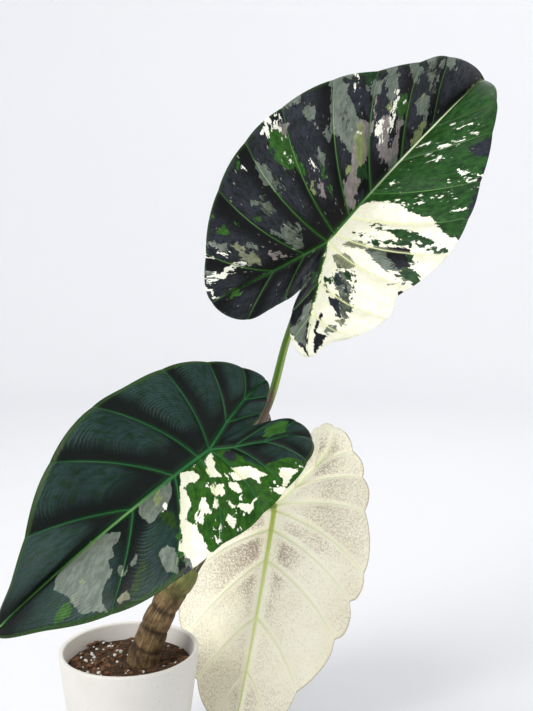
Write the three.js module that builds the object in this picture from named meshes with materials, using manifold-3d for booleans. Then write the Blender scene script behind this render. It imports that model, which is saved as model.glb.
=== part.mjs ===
// A potted alocasia with three large variegated shield leaves, in millimetres.
// +Z is up, the viewer stands on the -Y side, and +X is to the right.
// The origin is the middle of the pot's flat underside.
import * as THREE from "three";
import { mergeVertices } from "three/addons/utils/BufferGeometryUtils.js";
import Module from "manifold-3d";

const wasm = await Module();
wasm.setup();

// Clearance between pieces that touch
const GAP = 0.35;

// Pot: a plain tapered round pot
const POT_HEIGHT = 130;
const POT_RIM_RADIUS = 61;
const POT_BASE_RADIUS = 44;
const POT_WALL = 4.5;
const POT_FLOOR = 8;
const POT_EDGE = 1.5;
const POT_SIDES = 56;
const DRAIN_RADIUS = 4;
const DRAIN_CIRCLE = 24;
const DRAIN_COUNT = 3;

// Soil: fills the pot to a finger's width below the rim
const SOIL_TOP = 117;
const SOIL_LUMP = 2.2;
const SOIL_RINGS = 9;
const SOIL_SIDES = 44;

// Stem: the short thick trunk that leans out of the soil and carries the petioles
const STEM_PATH = [[7, 0, 84], [10, 0, 110], [22, 0, 148], [40, 0, 182], [54, 0, 207]];
const STEM_FOOT_RADIUS = 15.5;
const STEM_RADIUS = 12.2;
const CROWN_RADIUS = 13.6;
const SCAR_DEPTH = 0.7;
const SCAR_COUNT = 7;

// Petioles: place round the stem's top in degrees, radius at the stem (base) and at the leaf (top), route
const SOCKET_DEPTH = 12;
const SOCKET_CIRCLE = 6.6;
const PETIOLES = {
  petiole_upper: {
    leaf: "leaf_upper",
    around: 120,
    base: 4.9,
    top: 3,
    route: [[70, 16, 244], [94, 26, 290], [121.5, 33, 339], [138, 36, 396.7], [156, 35, 446]],
  },
  petiole_left: {
    leaf: "leaf_left",
    around: 240,
    base: 4.6,
    top: 2.8,
    route: [[53, -28, 250], [62, -62, 289]],
  },
  petiole_pale: {
    leaf: "leaf_pale",
    around: 0,
    base: 4.4,
    top: 3.1,
    route: [[77, 8, 227], [95, 20, 240], [112, 36, 246]],
  },
};
const PETIOLE_SIDES = 12;
const PETIOLE_STEPS = 22;

// Blades: flat sizes are (x, v), x along the midrib from the petiole's joint to the tip and v to the left.
// In degrees: heading is the midrib's angle above the horizontal seen from the front, lean its tilt away
// from the viewer, turn the upper face's turn to the leaf's left, and fold each half's rise from the midrib.
// nod lists the midrib's bends towards the underside as lengths and radians per mm. tail bends the lobes
// and droop each half the same way. edge goes round from the tip by the right side, one point for each
// rib. flatRibs are the places in edge where no rib stands out, so the swell goes on across them.
const LEAVES = {
  leaf_upper: {
    joint: [173, 20, 482.5],
    heading: 49.3,
    lean: 4,
    turn: 16,
    upperFaceToFront: true,
    fold: 35,
    droop: 0.0009,
    nod: [[170, 0.0018], [200, 0.009]],
    tail: 0.0015,
    midrib: [212, 140, 97, 57, 29, 9, 0],
    rightRib: [[-32, -24], [-55, -42], [-72, -57]],
    leftRib: [[-21, 9], [-49, 21], [-82, 38]],
    edge: [
      [225, 6], [184, -36], [152, -56], [102, -85], [68, -104], [38, -110], [4, -103],
      [-24, -107], [-50, -94], [-83, -68], [-83, -44], [-66, -24], [-45, -10],
      [-62, -3], [-95, 12], [-101, 46], [-73, 75], [-29, 101],
      [11, 110], [50, 106], [96, 91], [129, 70], [167, 50], [197, 36],
    ],
    flatRibs: [],
    wavePhase: 0.4,
  },
  leaf_left: {
    joint: [77.9, -110, 326.2],
    heading: 212,
    lean: -33,
    turn: -31,
    upperFaceToFront: true,
    fold: 22,
    droop: 0.0012,
    nod: [[170, 0.002], [200, 0.006]],
    tail: 0.0015,
    midrib: [180, 116, 71, 33, 10, 3, 0],
    rightRib: [[-24, -9], [-48, -16], [-66, -19]],
    leftRib: [[-13, 12], [-31, 25], [-46, 35]],
    edge: [
      [190, 2], [160, -17], [137, -33], [94, -61], [48, -75], [20, -73], [-9, -69],
      [-42, -55], [-66, -38], [-76, -20], [-66, -8], [-54, 0], [-41, 3],
      [-53, 15], [-63, 28], [-58, 48], [-37, 63], [-7, 72],
      [15, 73], [32, 73], [50, 73], [87, 69], [127, 53], [160, 30],
    ],
    flatRibs: [1, 5, 19, 23],
    wavePhase: 2.1,
  },
  leaf_pale: {
    joint: [127.9, 55, 242.3],
    heading: 262,
    lean: 8,
    turn: -10,
    upperFaceToFront: false,
    fold: 30,
    droop: 0.0008,
    nod: [[170, 0.002], [200, 0.004]],
    tail: 0.0015,
    midrib: [218, 160, 110, 54, 24, 5, 0],
    rightRib: [[-18, -16], [-38, -33], [-55, -44]],
    leftRib: [[-18, 14], [-42, 26], [-64, 32]],
    edge: [
      [228, 0], [206, -31], [175, -56], [126, -85], [90, -93], [63, -103], [5, -92],
      [-30, -81], [-54, -68], [-75, -48], [-78, -30], [-60, -14], [-45, -2],
      [-62, 6], [-80, 14], [-90, 34], [-74, 58], [-38, 80],
      [2, 96], [52, 104], [105, 95], [150, 77], [184, 56], [209, 28],
    ],
    flatRibs: [],
    wavePhase: 4.2,
  },
};
// Steps between two ribs and from the midrib out to the edge, as shares of the way
const ACROSS = [0, 0.13, 0.5, 0.87];
const OUTWARD = [0, 0.1, 0.34, 0.62, 0.85, 1];
const BLADE_THICKNESS = 1.3;
const EDGE_THICKNESS = 0.8;
// Relief: how far the blade swells between ribs as a share of their distance, and the waved, scalloped edge
const SWELL = 0.075;
const WAVE = 2.6;
const WAVES = 7;
const SCALLOP = 2.2;
// Ribs stand out of the underside: hub at the joint, slope of its sides, midrib and side ribs
const HUB_RIB = 3.2;
const HUB_FALL = 0.25;
const MIDRIB_RIB = 1;
const MIDRIB_LENGTH = 150;
const SIDE_RIB = 1.3;
// A side rib leaves the midrib steeply and then swings towards the tip, by this share of its length
const RIB_BOW = 0.06;

const finish = (color, roughness) =>
  new THREE.MeshStandardMaterial({ color, roughness, metalness: 0 });
const MATERIALS = {
  pot: finish(0xf1efea, 0.62),
  soil: finish(0x3a2a1e, 0.95),
  stem: finish(0x77613f, 0.85),
  petiole: finish(0x6f7f2c, 0.5),
  leaf_upper: finish(0x2f4a3a, 0.4),
  leaf_left: finish(0x1f3a30, 0.4),
  leaf_pale: finish(0xe2ddc6, 0.6),
};

const vector = (p) => new THREE.Vector3(...p);

// Meshes and solids

function closedGeometry(positions) {
  const geometry = new THREE.BufferGeometry();
  geometry.setAttribute("position", new THREE.Float32BufferAttribute(positions, 3));
  return mergeVertices(geometry, 1e-4);
}

function toSolid(geometry) {
  const bare = geometry.clone();
  bare.deleteAttribute("normal");
  bare.deleteAttribute("uv");
  const merged = mergeVertices(bare, 1e-4);
  return new wasm.Manifold(
    new wasm.Mesh({
      numProp: 3,
      vertProperties: new Float32Array(merged.attributes.position.array),
      triVerts: new Uint32Array(merged.index.array),
    }),
  );
}

function toGeometry(solid) {
  const mesh = solid.getMesh();
  const geometry = new THREE.BufferGeometry();
  geometry.setAttribute("position", new THREE.BufferAttribute(mesh.vertProperties, 3));
  geometry.setIndex(new THREE.BufferAttribute(mesh.triVerts, 1));
  return geometry;
}

// Tube: rings of the given radii along a smooth path, closed at both ends by fans
function tube(points, radiusAt, sides, steps, grow = 0) {
  const path = new THREE.CatmullRomCurve3(points.map(vector), false, "centripetal");
  const frames = path.computeFrenetFrames(steps, false);
  const rings = [];
  for (let i = 0; i <= steps; i++) {
    const share = i / steps;
    const centre = path.getPointAt(share);
    if (i === 0) {
      centre.addScaledVector(frames.tangents[0], -grow);
    }
    if (i === steps) {
      centre.addScaledVector(frames.tangents[steps], grow);
    }
    const radius = radiusAt(share) + grow;
    const ring = [];
    for (let j = 0; j < sides; j++) {
      const turn = (2 * Math.PI * j) / sides;
      ring.push(
        centre
          .clone()
          .addScaledVector(frames.normals[i], radius * Math.cos(turn))
          .addScaledVector(frames.binormals[i], radius * Math.sin(turn)),
      );
    }
    rings.push({ centre, ring });
  }
  const positions = [];
  const face = (...corners) => corners.forEach((c) => positions.push(c.x, c.y, c.z));
  for (let j = 0; j < sides; j++) {
    const k = (j + 1) % sides;
    face(rings[0].centre, rings[0].ring[k], rings[0].ring[j]);
    face(rings[steps].centre, rings[steps].ring[j], rings[steps].ring[k]);
    for (let i = 0; i < steps; i++) {
      face(rings[i].ring[j], rings[i].ring[k], rings[i + 1].ring[k]);
      face(rings[i].ring[j], rings[i + 1].ring[k], rings[i + 1].ring[j]);
    }
  }
  return closedGeometry(positions);
}

// Pot

const potOuterRadius = (z) =>
  POT_BASE_RADIUS + ((POT_RIM_RADIUS - POT_BASE_RADIUS) * z) / POT_HEIGHT;
const potInnerRadius = (z) => potOuterRadius(z) - POT_WALL;

function makePot() {
  const profile = [
    [0, 0],
    [POT_BASE_RADIUS - POT_EDGE, 0],
    [POT_BASE_RADIUS, POT_EDGE],
    [potOuterRadius(POT_HEIGHT / 2), POT_HEIGHT / 2],
    [POT_RIM_RADIUS, POT_HEIGHT - POT_EDGE],
    [POT_RIM_RADIUS - POT_EDGE, POT_HEIGHT],
    [potInnerRadius(POT_HEIGHT) + POT_EDGE, POT_HEIGHT],
    [potInnerRadius(POT_HEIGHT), POT_HEIGHT - POT_EDGE],
    [potInnerRadius(POT_FLOOR + POT_EDGE), POT_FLOOR + POT_EDGE],
    [potInnerRadius(POT_FLOOR) - POT_EDGE, POT_FLOOR],
    [0, POT_FLOOR],
  ].map(([r, z]) => new THREE.Vector2(r, z));
  const lathe = new THREE.LatheGeometry(profile, POT_SIDES);
  lathe.rotateX(Math.PI / 2);
  let pot = toSolid(lathe);
  for (let i = 0; i < DRAIN_COUNT; i++) {
    const turn = (2 * Math.PI * (i + 0.5)) / DRAIN_COUNT;
    const drain = new THREE.CylinderGeometry(DRAIN_RADIUS, DRAIN_RADIUS, 3 * POT_FLOOR, 16);
    drain.rotateX(Math.PI / 2);
    drain.translate(DRAIN_CIRCLE * Math.cos(turn), DRAIN_CIRCLE * Math.sin(turn), 0);
    pot = pot.subtract(toSolid(drain));
  }
  return toGeometry(pot);
}

// Stem

const stemRadiusAt = (share) => {
  const crown = (CROWN_RADIUS - STEM_RADIUS) * Math.max(0, (share - 0.75) / 0.25);
  const foot = (STEM_FOOT_RADIUS - STEM_RADIUS) * Math.max(0, 1 - share / 0.6);
  const scar = SCAR_DEPTH * Math.pow(Math.abs(Math.sin(Math.PI * SCAR_COUNT * share)), 8);
  return STEM_RADIUS + crown + foot - scar;
};

function stemTube(grow = 0) {
  return tube(STEM_PATH, stemRadiusAt, 16, 28, grow);
}

// The stem's top: its middle, its axis and the point of each petiole's socket on it
const crownMiddle = vector(STEM_PATH.at(-1));
const crownAxis = crownMiddle.clone().sub(vector(STEM_PATH.at(-2))).normalize();
const crownBack = new THREE.Vector3(0, 1, 0);
const crownRight = crownBack.clone().cross(crownAxis).normalize();

function socketMouth(petiole) {
  const turn = THREE.MathUtils.degToRad(petiole.around);
  return crownMiddle
    .clone()
    .addScaledVector(crownRight, SOCKET_CIRCLE * Math.cos(turn))
    .addScaledVector(crownBack, SOCKET_CIRCLE * Math.sin(turn));
}

function makeStem() {
  let stem = toSolid(stemTube());
  for (const petiole of Object.values(PETIOLES)) {
    stem = stem.subtract(toSolid(petioleTube(petiole, GAP)));
  }
  return toGeometry(stem);
}

// Petioles: straight in the socket, then along the route to the hub under the blade

function petioleTube(petiole, grow = 0) {
  const mouth = socketMouth(petiole);
  const foot = mouth.clone().addScaledVector(crownAxis, -SOCKET_DEPTH);
  const seat = hubSeat(LEAVES[petiole.leaf], vector(petiole.route.at(-1)), petiole.top);
  const points = [foot.toArray(), mouth.toArray(), ...petiole.route, seat.toArray()];
  const radiusAt = (share) => petiole.top + (petiole.base - petiole.top) * Math.pow(1 - share, 1.4);
  return tube(points, radiusAt, PETIOLE_SIDES, PETIOLE_STEPS, grow);
}

// The petiole's last point: under the hub, low enough that the end's rim stays clear of its falling sides
function hubSeat(leaf, from, radius) {
  const frame = bladeFrame(leaf);
  const hub = frame.joint.clone().addScaledVector(frame.normal, -(BLADE_THICKNESS + HUB_RIB));
  const along = hub.clone().sub(from).normalize();
  const square = Math.abs(along.dot(frame.normal));
  const slant = Math.sqrt(1 - square * square);
  return hub.addScaledVector(frame.normal, -(GAP + radius * Math.max(0, slant - HUB_FALL * square)));
}

// Soil: lumpy top, the pot's inner shape below, with a plain hole for the stem

const soilTop = (x, y) =>
  SOIL_TOP
  + SOIL_LUMP * Math.sin(x / 7.3 + 0.6) * Math.cos(y / 6.1)
  + 0.6 * SOIL_LUMP * Math.sin(x / 3.7 - y / 4.3 + 1.1);

function makeSoil() {
  const bottom = POT_FLOOR + GAP;
  const positions = [];
  const face = (...corners) => corners.forEach((c) => positions.push(...c));
  const radius = (z) => potInnerRadius(z) - GAP - 0.15;
  const rimRadius = radius(SOIL_TOP - 2 * SOIL_LUMP);
  const top = (i, j) => {
    const turn = (2 * Math.PI * j) / SOIL_SIDES;
    const r = (rimRadius * i) / SOIL_RINGS;
    const x = r * Math.cos(turn);
    const y = r * Math.sin(turn);
    return [x, y, i === SOIL_RINGS ? SOIL_TOP - 2 * SOIL_LUMP : soilTop(x, y)];
  };
  const foot = (j) => {
    const turn = (2 * Math.PI * j) / SOIL_SIDES;
    const r = radius(bottom) - POT_EDGE;
    return [r * Math.cos(turn), r * Math.sin(turn), bottom];
  };
  for (let j = 0; j < SOIL_SIDES; j++) {
    face([0, 0, soilTop(0, 0)], top(1, j), top(1, j + 1));
    for (let i = 1; i < SOIL_RINGS; i++) {
      face(top(i, j), top(i + 1, j), top(i + 1, j + 1));
      face(top(i, j), top(i + 1, j + 1), top(i, j + 1));
    }
    face(top(SOIL_RINGS, j), foot(j), foot(j + 1));
    face(top(SOIL_RINGS, j), foot(j + 1), top(SOIL_RINGS, j + 1));
    face([0, 0, bottom], foot(j + 1), foot(j));
  }
  return toGeometry(toSolid(closedGeometry(positions)).subtract(toSolid(stemTube(GAP))));
}

// Blades

// A chain of arcs, each a length and a bend in radians per mm: how far and how high it is after a distance
function walkArcs(distance, startAngle, arcs) {
  let angle = startAngle;
  let along = 0;
  let rise = 0;
  let left = distance;
  arcs.forEach(([length, bend], i) => {
    const step = i === arcs.length - 1 ? left : Math.min(left, length);
    const next = angle + bend * step;
    along += bend === 0 ? step * Math.cos(angle) : (Math.sin(next) - Math.sin(angle)) / bend;
    rise += bend === 0 ? step * Math.sin(angle) : (Math.cos(angle) - Math.cos(next)) / bend;
    angle = next;
    left -= step;
  });
  return { along, rise, angle };
}

function bladeFrame(leaf) {
  const heading = THREE.MathUtils.degToRad(leaf.heading);
  const lean = THREE.MathUtils.degToRad(leaf.lean);
  const turn = THREE.MathUtils.degToRad(leaf.turn);
  const tip = new THREE.Vector3(
    Math.cos(heading) * Math.cos(lean),
    Math.sin(lean),
    Math.sin(heading) * Math.cos(lean),
  );
  const front = new THREE.Vector3(0, -1, 0);
  front.addScaledVector(tip, -front.dot(tip)).normalize();
  const side = front.clone().cross(tip);
  const normal = front.multiplyScalar(Math.cos(turn)).addScaledVector(side, Math.sin(turn));
  if (!leaf.upperFaceToFront) {
    normal.negate();
  }
  return { joint: vector(leaf.joint), tip, normal, left: normal.clone().cross(tip) };
}

// The blade's middle surface at a flat point: along the bent midrib, then out on the folded, drooping half
function bladePoint(leaf, frame, x, v) {
  const ahead = x >= 0;
  const arcs = ahead ? leaf.nod : [[1000, leaf.tail]];
  const spine = walkArcs(Math.abs(x), 0, arcs.map(([length, bend]) => [length, -bend]));
  const sign = ahead ? 1 : -1;
  const half = walkArcs(Math.abs(v), THREE.MathUtils.degToRad(leaf.fold), [[1000, -leaf.droop]]);
  const up = frame.normal
    .clone()
    .multiplyScalar(Math.cos(spine.angle))
    .addScaledVector(frame.tip, -sign * Math.sin(spine.angle));
  return frame.joint
    .clone()
    .addScaledVector(frame.tip, sign * spine.along)
    .addScaledVector(frame.normal, spine.rise)
    .addScaledVector(frame.left, Math.sign(v) * half.along)
    .addScaledVector(up, half.rise);
}

function bladeNormal(leaf, frame, x, v) {
  const d = 0.5;
  const alongX = bladePoint(leaf, frame, x + d, v).sub(bladePoint(leaf, frame, x - d, v));
  const alongV = bladePoint(leaf, frame, x, v + d).sub(bladePoint(leaf, frame, x, v - d));
  return alongX.cross(alongV).normalize();
}

// The inner end of each rib in the order of edge: down the midrib, out and back on each lobe's rib, and up
function ribRoots(leaf) {
  const midrib = leaf.midrib.map((x) => [x, 0]);
  const [r1, r2, r3] = leaf.rightRib;
  const [l1, l2, l3] = leaf.leftRib;
  const down = midrib.slice(1);
  const joint = midrib.at(-1);
  return [midrib[0], ...down, r1, r2, r3, r2, r1, joint, l1, l2, l3, l2, l1, ...down.toReversed()];
}

const between = (a, b, share) => a.map((value, i) => value + (b[i] - value) * share);
const distance = (a, b) => Math.hypot(b[0] - a[0], b[1] - a[1]);

// A smooth closed line through the edge points: a cubic whose slopes allow for uneven spacing
function edgePoint(edge, index, share) {
  const at = (i) => edge[(i + edge.length) % edge.length];
  const [p0, p1, p2, p3] = [-1, 0, 1, 2].map((i) => at(index + i));
  const [d0, d1, d2] = [[p0, p1], [p1, p2], [p2, p3]].map(([a, b]) => Math.sqrt(distance(a, b)));
  const [s, s2, s3] = [share, share ** 2, share ** 3];
  return [0, 1].map((i) => {
    const slopeIn = (p1[i] - p0[i]) / d0 - (p2[i] - p0[i]) / (d0 + d1) + (p2[i] - p1[i]) / d1;
    const slopeOut = (p2[i] - p1[i]) / d1 - (p3[i] - p1[i]) / (d1 + d2) + (p3[i] - p2[i]) / d2;
    return (
      (2 * s3 - 3 * s2 + 1) * p1[i]
      + (s3 - 2 * s2 + s) * d1 * slopeIn
      + (3 * s2 - 2 * s3) * p2[i]
      + (s3 - s2) * d1 * slopeOut
    );
  });
}

// How far a column lies across its panel, the stretch between two standing ribs, and how wide the panel is
function panelAt(leaf, i, across) {
  const count = leaf.edge.length;
  const [before, next, after] = [(i + count - 1) % count, (i + 1) % count, (i + 2) % count];
  const width = distance(leaf.edge[i], leaf.edge[next]);
  if (leaf.flatRibs.includes(next)) {
    return { place: across / 2, width: width + distance(leaf.edge[next], leaf.edge[after]) };
  }
  if (leaf.flatRibs.includes(i)) {
    return { place: (1 + across) / 2, width: width + distance(leaf.edge[before], leaf.edge[i]) };
  }
  return { place: across, width };
}

// A flat point on the line that runs out from root to edge, bowed away from the tip
function rayPoint(root, edge, share) {
  const [dx, dv] = [edge[0] - root[0], edge[1] - root[1]];
  const steep = dv / Math.hypot(dx, dv);
  const bow = 4 * RIB_BOW * share * (1 - share) * steep;
  return [root[0] + dx * share - dv * bow, root[1] + dv * share + dx * bow];
}

function makeBlade(leaf) {
  const frame = bladeFrame(leaf);
  const roots = ribRoots(leaf);
  const count = roots.length;
  const columns = [];
  for (let i = 0; i < count; i++) {
    const next = (i + 1) % count;
    for (const across of ACROSS) {
      const { place, width } = panelAt(leaf, i, across);
      const arch = 4 * place * (1 - place);
      const root = between(roots[i], roots[next], across);
      const edge = edgePoint(leaf.edge, i, across);
      const reach = distance(root, edge);
      const scalloped = between(root, edge, 1 + (Math.min(SCALLOP, width / 12) * arch) / reach);
      const column = OUTWARD.map((outward) => {
        const [x, v] = rayPoint(root, scalloped, outward);
        const normal = bladeNormal(leaf, frame, x, v);
        const swell = SWELL * width * arch * Math.sin(Math.PI * Math.pow(outward, 0.8));
        const round = (2 * Math.PI * (i + across)) / count;
        const wave = WAVE * outward ** 3 * Math.sin(WAVES * round + leaf.wavePhase);
        const height = swell + wave;
        const thickness = BLADE_THICKNESS + (EDGE_THICKNESS - BLADE_THICKNESS) * outward;
        const fromJoint = Math.min(1, Math.hypot(root[0], root[1]) / MIDRIB_LENGTH);
        const midrib = outward === 0 ? HUB_RIB + (MIDRIB_RIB - HUB_RIB) * Math.sqrt(fromJoint) : 0;
        const ribStands = place === 0 && outward > 0;
        const sideRib = ribStands ? SIDE_RIB * (1 - outward) : 0;
        const middle = bladePoint(leaf, frame, x, v);
        return {
          upper: middle.clone().addScaledVector(normal, height),
          under: middle.clone().addScaledVector(normal, height - thickness - midrib - sideRib),
        };
      });
      columns.push(column);
    }
  }
  const positions = [];
  const face = (...corners) => {
    const [a, b, c] = corners;
    if (a.distanceTo(b) > 1e-3 && b.distanceTo(c) > 1e-3 && c.distanceTo(a) > 1e-3) {
      corners.forEach((p) => positions.push(p.x, p.y, p.z));
    }
  };
  columns.forEach((column, i) => {
    const next = columns[(i + 1) % columns.length];
    for (let k = 0; k + 1 < OUTWARD.length; k++) {
      face(column[k].upper, next[k].upper, next[k + 1].upper);
      face(column[k].upper, next[k + 1].upper, column[k + 1].upper);
      face(column[k].under, next[k + 1].under, next[k].under);
      face(column[k].under, column[k + 1].under, next[k + 1].under);
    }
    const [a, b] = [column.at(-1), next.at(-1)];
    face(a.upper, b.upper, b.under);
    face(a.upper, b.under, a.under);
  });
  return closedGeometry(positions);
}

// The plant

const plant = new THREE.Group();

function addPiece(name, geometry, material) {
  const piece = new THREE.Mesh(geometry, material);
  piece.name = name;
  plant.add(piece);
}

addPiece("pot", makePot(), MATERIALS.pot);
addPiece("soil", makeSoil(), MATERIALS.soil);
addPiece("stem", makeStem(), MATERIALS.stem);
for (const [name, petiole] of Object.entries(PETIOLES)) {
  addPiece(name, petioleTube(petiole), MATERIALS.petiole);
}
for (const [name, leaf] of Object.entries(LEAVES)) {
  addPiece(name, makeBlade(leaf), MATERIALS[name]);
}

export default plant;
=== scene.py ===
"""Looks of a potted regal shields alocasia: three variegated shield leaves on petioles, stem, soil and pot.

The plant is worked out in millimetres and goes into its meshes in metres. +Z is up, the viewer stands on
the -Y side and +X is to the right, as in the fixed model that the first lines load.
"""
import math

import bpy
import numpy as np
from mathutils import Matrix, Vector


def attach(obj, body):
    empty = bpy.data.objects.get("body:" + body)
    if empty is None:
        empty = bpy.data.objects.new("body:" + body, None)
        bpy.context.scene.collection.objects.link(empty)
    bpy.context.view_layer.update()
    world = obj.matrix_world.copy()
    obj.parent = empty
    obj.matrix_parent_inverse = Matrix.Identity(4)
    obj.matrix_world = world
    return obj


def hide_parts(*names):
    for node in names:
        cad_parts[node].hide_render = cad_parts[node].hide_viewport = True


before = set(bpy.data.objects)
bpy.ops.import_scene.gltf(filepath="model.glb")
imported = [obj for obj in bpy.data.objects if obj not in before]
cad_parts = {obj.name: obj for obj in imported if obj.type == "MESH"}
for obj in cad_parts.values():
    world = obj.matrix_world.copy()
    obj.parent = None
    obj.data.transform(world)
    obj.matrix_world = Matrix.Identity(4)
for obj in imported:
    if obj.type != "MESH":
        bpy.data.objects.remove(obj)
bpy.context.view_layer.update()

MM = 0.001

# Camera: a 45 mm lens at the photographer's place, five degrees down
CAMERA_PLACE = (0.120, -0.7521, 0.4518)
CAMERA_DOWN = 5
CAMERA_LENS = 45
CAMERA_SENSOR = 36

# Pot and soil
POT_HEIGHT = 130
POT_RIM_RADIUS = 61
POT_BASE_RADIUS = 44
POT_WALL = 4.5
POT_FLOOR = 8
DRAIN_RADIUS = 4
DRAIN_CIRCLE = 24
SOIL_TOP = 117
SOIL_LUMP = 2.2
SOIL_CLEARANCE = 0.5

# Stem and petioles: the routes are the fixed model's own. around is where a petiole leaves the crown, in
# degrees from the right towards the back.
STEM_PATH = ((7, 0, 84), (10, 0, 110), (22, 0, 148), (40, 0, 182), (54, 0, 207))
STEM_FOOT_RADIUS = 15.5
STEM_RADIUS = 12.2
CROWN_RADIUS = 13.6
SCAR_COUNT = 7
SCAR_DEPTH = 0.9
SOCKET_DEPTH = 12
SOCKET_CIRCLE = 6.6
PETIOLE_CHANNEL = 0.05
PETIOLE_FLARE = 0.22
PETIOLE_SHEATH = 0.16
# How deep in the hub's ridge a petiole ends, as a share of its height
PETIOLE_SEAT = 0.6
PETIOLES = {
    "petiole_upper": dict(
        leaf="leaf_upper", around=120, base=4.9, top=3.0,
        route=((70, 16, 244), (94, 26, 290), (121.5, 33, 339), (138, 36, 396.7), (156, 35, 446)),
    ),
    "petiole_left": dict(
        leaf="leaf_left", around=240, base=4.6, top=2.8,
        route=((53, -28, 250), (62, -62, 289)),
    ),
    "petiole_pale": dict(
        leaf="leaf_pale", around=0, base=4.4, top=3.1,
        route=((77, 8, 227), (95, 20, 240), (112, 36, 246)),
    ),
}

# Blades: (x, v) is x along the midrib from the joint and v to the leaf's left. Angles are in degrees and
# bends in radians per mm. edge goes round from the tip by the right side, with one point for each rib. A
# nick in it is (its place in ribs from the tip, depth in mm, width in ribs). face is 1 where the upper side
# is seen and -1 where the lower one is.
LEAVES = {
    "leaf_upper": dict(
        joint=(173, 20, 482.5), heading=49.3, lean=4, turn=16, face=1, fold=35,
        droop=0.0009, nod=((170, 0.0018), (200, 0.009)), tail=0.0015,
        midrib=(212, 140, 97, 57, 29, 9, 0),
        right_costa=((-32, -24), (-55, -42), (-72, -57)),
        left_costa=((-21, 9), (-49, 21), (-82, 38)),
        edge=(
            (225, 6), (184, -36), (152, -56), (102, -85), (68, -104), (38, -110), (4, -103),
            (-24, -107), (-50, -94), (-83, -68), (-83, -44), (-66, -24), (-45, -10),
            (-62, -3), (-95, 12), (-101, 46), (-73, 75), (-29, 101),
            (11, 110), (50, 106), (96, 91), (129, 70), (167, 50), (197, 36),
        ),
        flat_ribs=(), faint_ribs=(1, 23), fine_lines=34,
        scallop=1.0, wave=2.4, wave_phase=0.4,
        nicks=((6.4, 7, 0.3), (8.45, 9, 0.32)),
    ),
    "leaf_left": dict(
        joint=(77.9, -110, 326.2), heading=212, lean=-33, turn=-31, face=1, fold=22,
        droop=0.0012, nod=((170, 0.002), (200, 0.006)), tail=0.0015,
        midrib=(180, 116, 71, 33, 10, 3, 0),
        right_costa=((-24, -9), (-48, -16), (-66, -19)),
        left_costa=((-13, 12), (-31, 25), (-46, 35)),
        edge=(
            (190, 2), (160, -17), (137, -33), (94, -61), (48, -75), (20, -73), (-9, -69),
            (-42, -55), (-66, -38), (-76, -20), (-66, -8), (-54, 0), (-41, 3),
            (-53, 15), (-63, 28), (-58, 48), (-37, 63), (-7, 72),
            (15, 73), (32, 73), (50, 73), (87, 69), (127, 53), (160, 30),
        ),
        flat_ribs=(1, 5, 19, 23), faint_ribs=(), fine_lines=26,
        scallop=1.3, wave=2.6, wave_phase=2.1,
        nicks=(),
    ),
    "leaf_pale": dict(
        joint=(127.9, 55, 242.3), heading=262, lean=8, turn=-10, face=-1, fold=30,
        droop=0.0008, nod=((170, 0.002), (200, 0.004)), tail=0.0015,
        midrib=(218, 160, 110, 54, 24, 5, 0),
        right_costa=((-18, -16), (-38, -33), (-55, -44)),
        left_costa=((-18, 14), (-42, 26), (-64, 32)),
        edge=(
            (228, 0), (206, -31), (175, -56), (126, -85), (90, -93), (63, -103), (5, -92),
            (-30, -81), (-54, -68), (-75, -48), (-78, -30), (-60, -14), (-45, -2),
            (-62, 6), (-80, 14), (-90, 34), (-74, 58), (-38, 80),
            (2, 96), (52, 104), (105, 95), (150, 77), (184, 56), (209, 28),
        ),
        flat_ribs=(), faint_ribs=(1, 23), fine_lines=34,
        scallop=4.8, wave=4.2, wave_phase=4.2,
        nicks=((3.0, 2.5, 0.14), (4.0, 3, 0.14)),
    ),
}
SLOTS = {"leaf_upper": "leaf_variegated", "leaf_left": "leaf_dark", "leaf_pale": "leaf_pale"}
# Ribs are counted round from the tip. The notch and both lobes' main ribs have places of their own.
RIB_COUNT = 24
NOTCH = 12
COSTA_ENDS = (9, 15)
LOBE_RIBS = (7, 8, 10, 11, 13, 14, 16, 17)
RIB_BOW = 0.06
# Half width of a vein at its root and at its end
MIDRIB_VEIN = (1.5, 0.45)
COSTA_VEIN = (1.1, 0.3)
SIDE_VEIN = (0.68, 0.25)
LOBE_SLIMNESS = 0.7
FAINT_SLIMNESS = 0.4
UNDER_VEIN_WIDENING = 1.7
# Steps between two ribs and from the midrib out to the edge
SECTOR_STEPS = 28
OUTWARD_STEPS = 58
BLADE_THICKNESS = 1.2
EDGE_THICKNESS = 0.8
FOLD_ROUNDING = 2.2
SWELL = 0.075
WAVES = 7
RIM_ROLL = 1.1
RIM_ROLL_START = 0.93
# Ridges below and grooves above: the midrib's own end at these shares of the way out, and the ridge thins
# from the hub's height to the midrib's over the fade, in mm from the joint
RIDGE_REACH = 0.16
GROOVE_REACH = 0.2
RIDGE_NARROWNESS = 1.1
GROOVE_NARROWNESS = 0.6
HUB_FADE = 150
HUB_RIB = 3.2
MIDRIB_RIB = 1.0
SIDE_RIB = 1.3
MIDRIB_GROOVE = 0.45
SIDE_GROOVE = 0.35
# The unit of a blade's chart in mm
CHART_UNIT = 30


def unit(vectors):
    return vectors / np.linalg.norm(vectors, axis=-1, keepdims=True)


def smoothstep(low, high, value):
    share = np.clip((value - low) / (high - low), 0, 1)
    return share * share * (3 - 2 * share)


# Smooth lines


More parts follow.
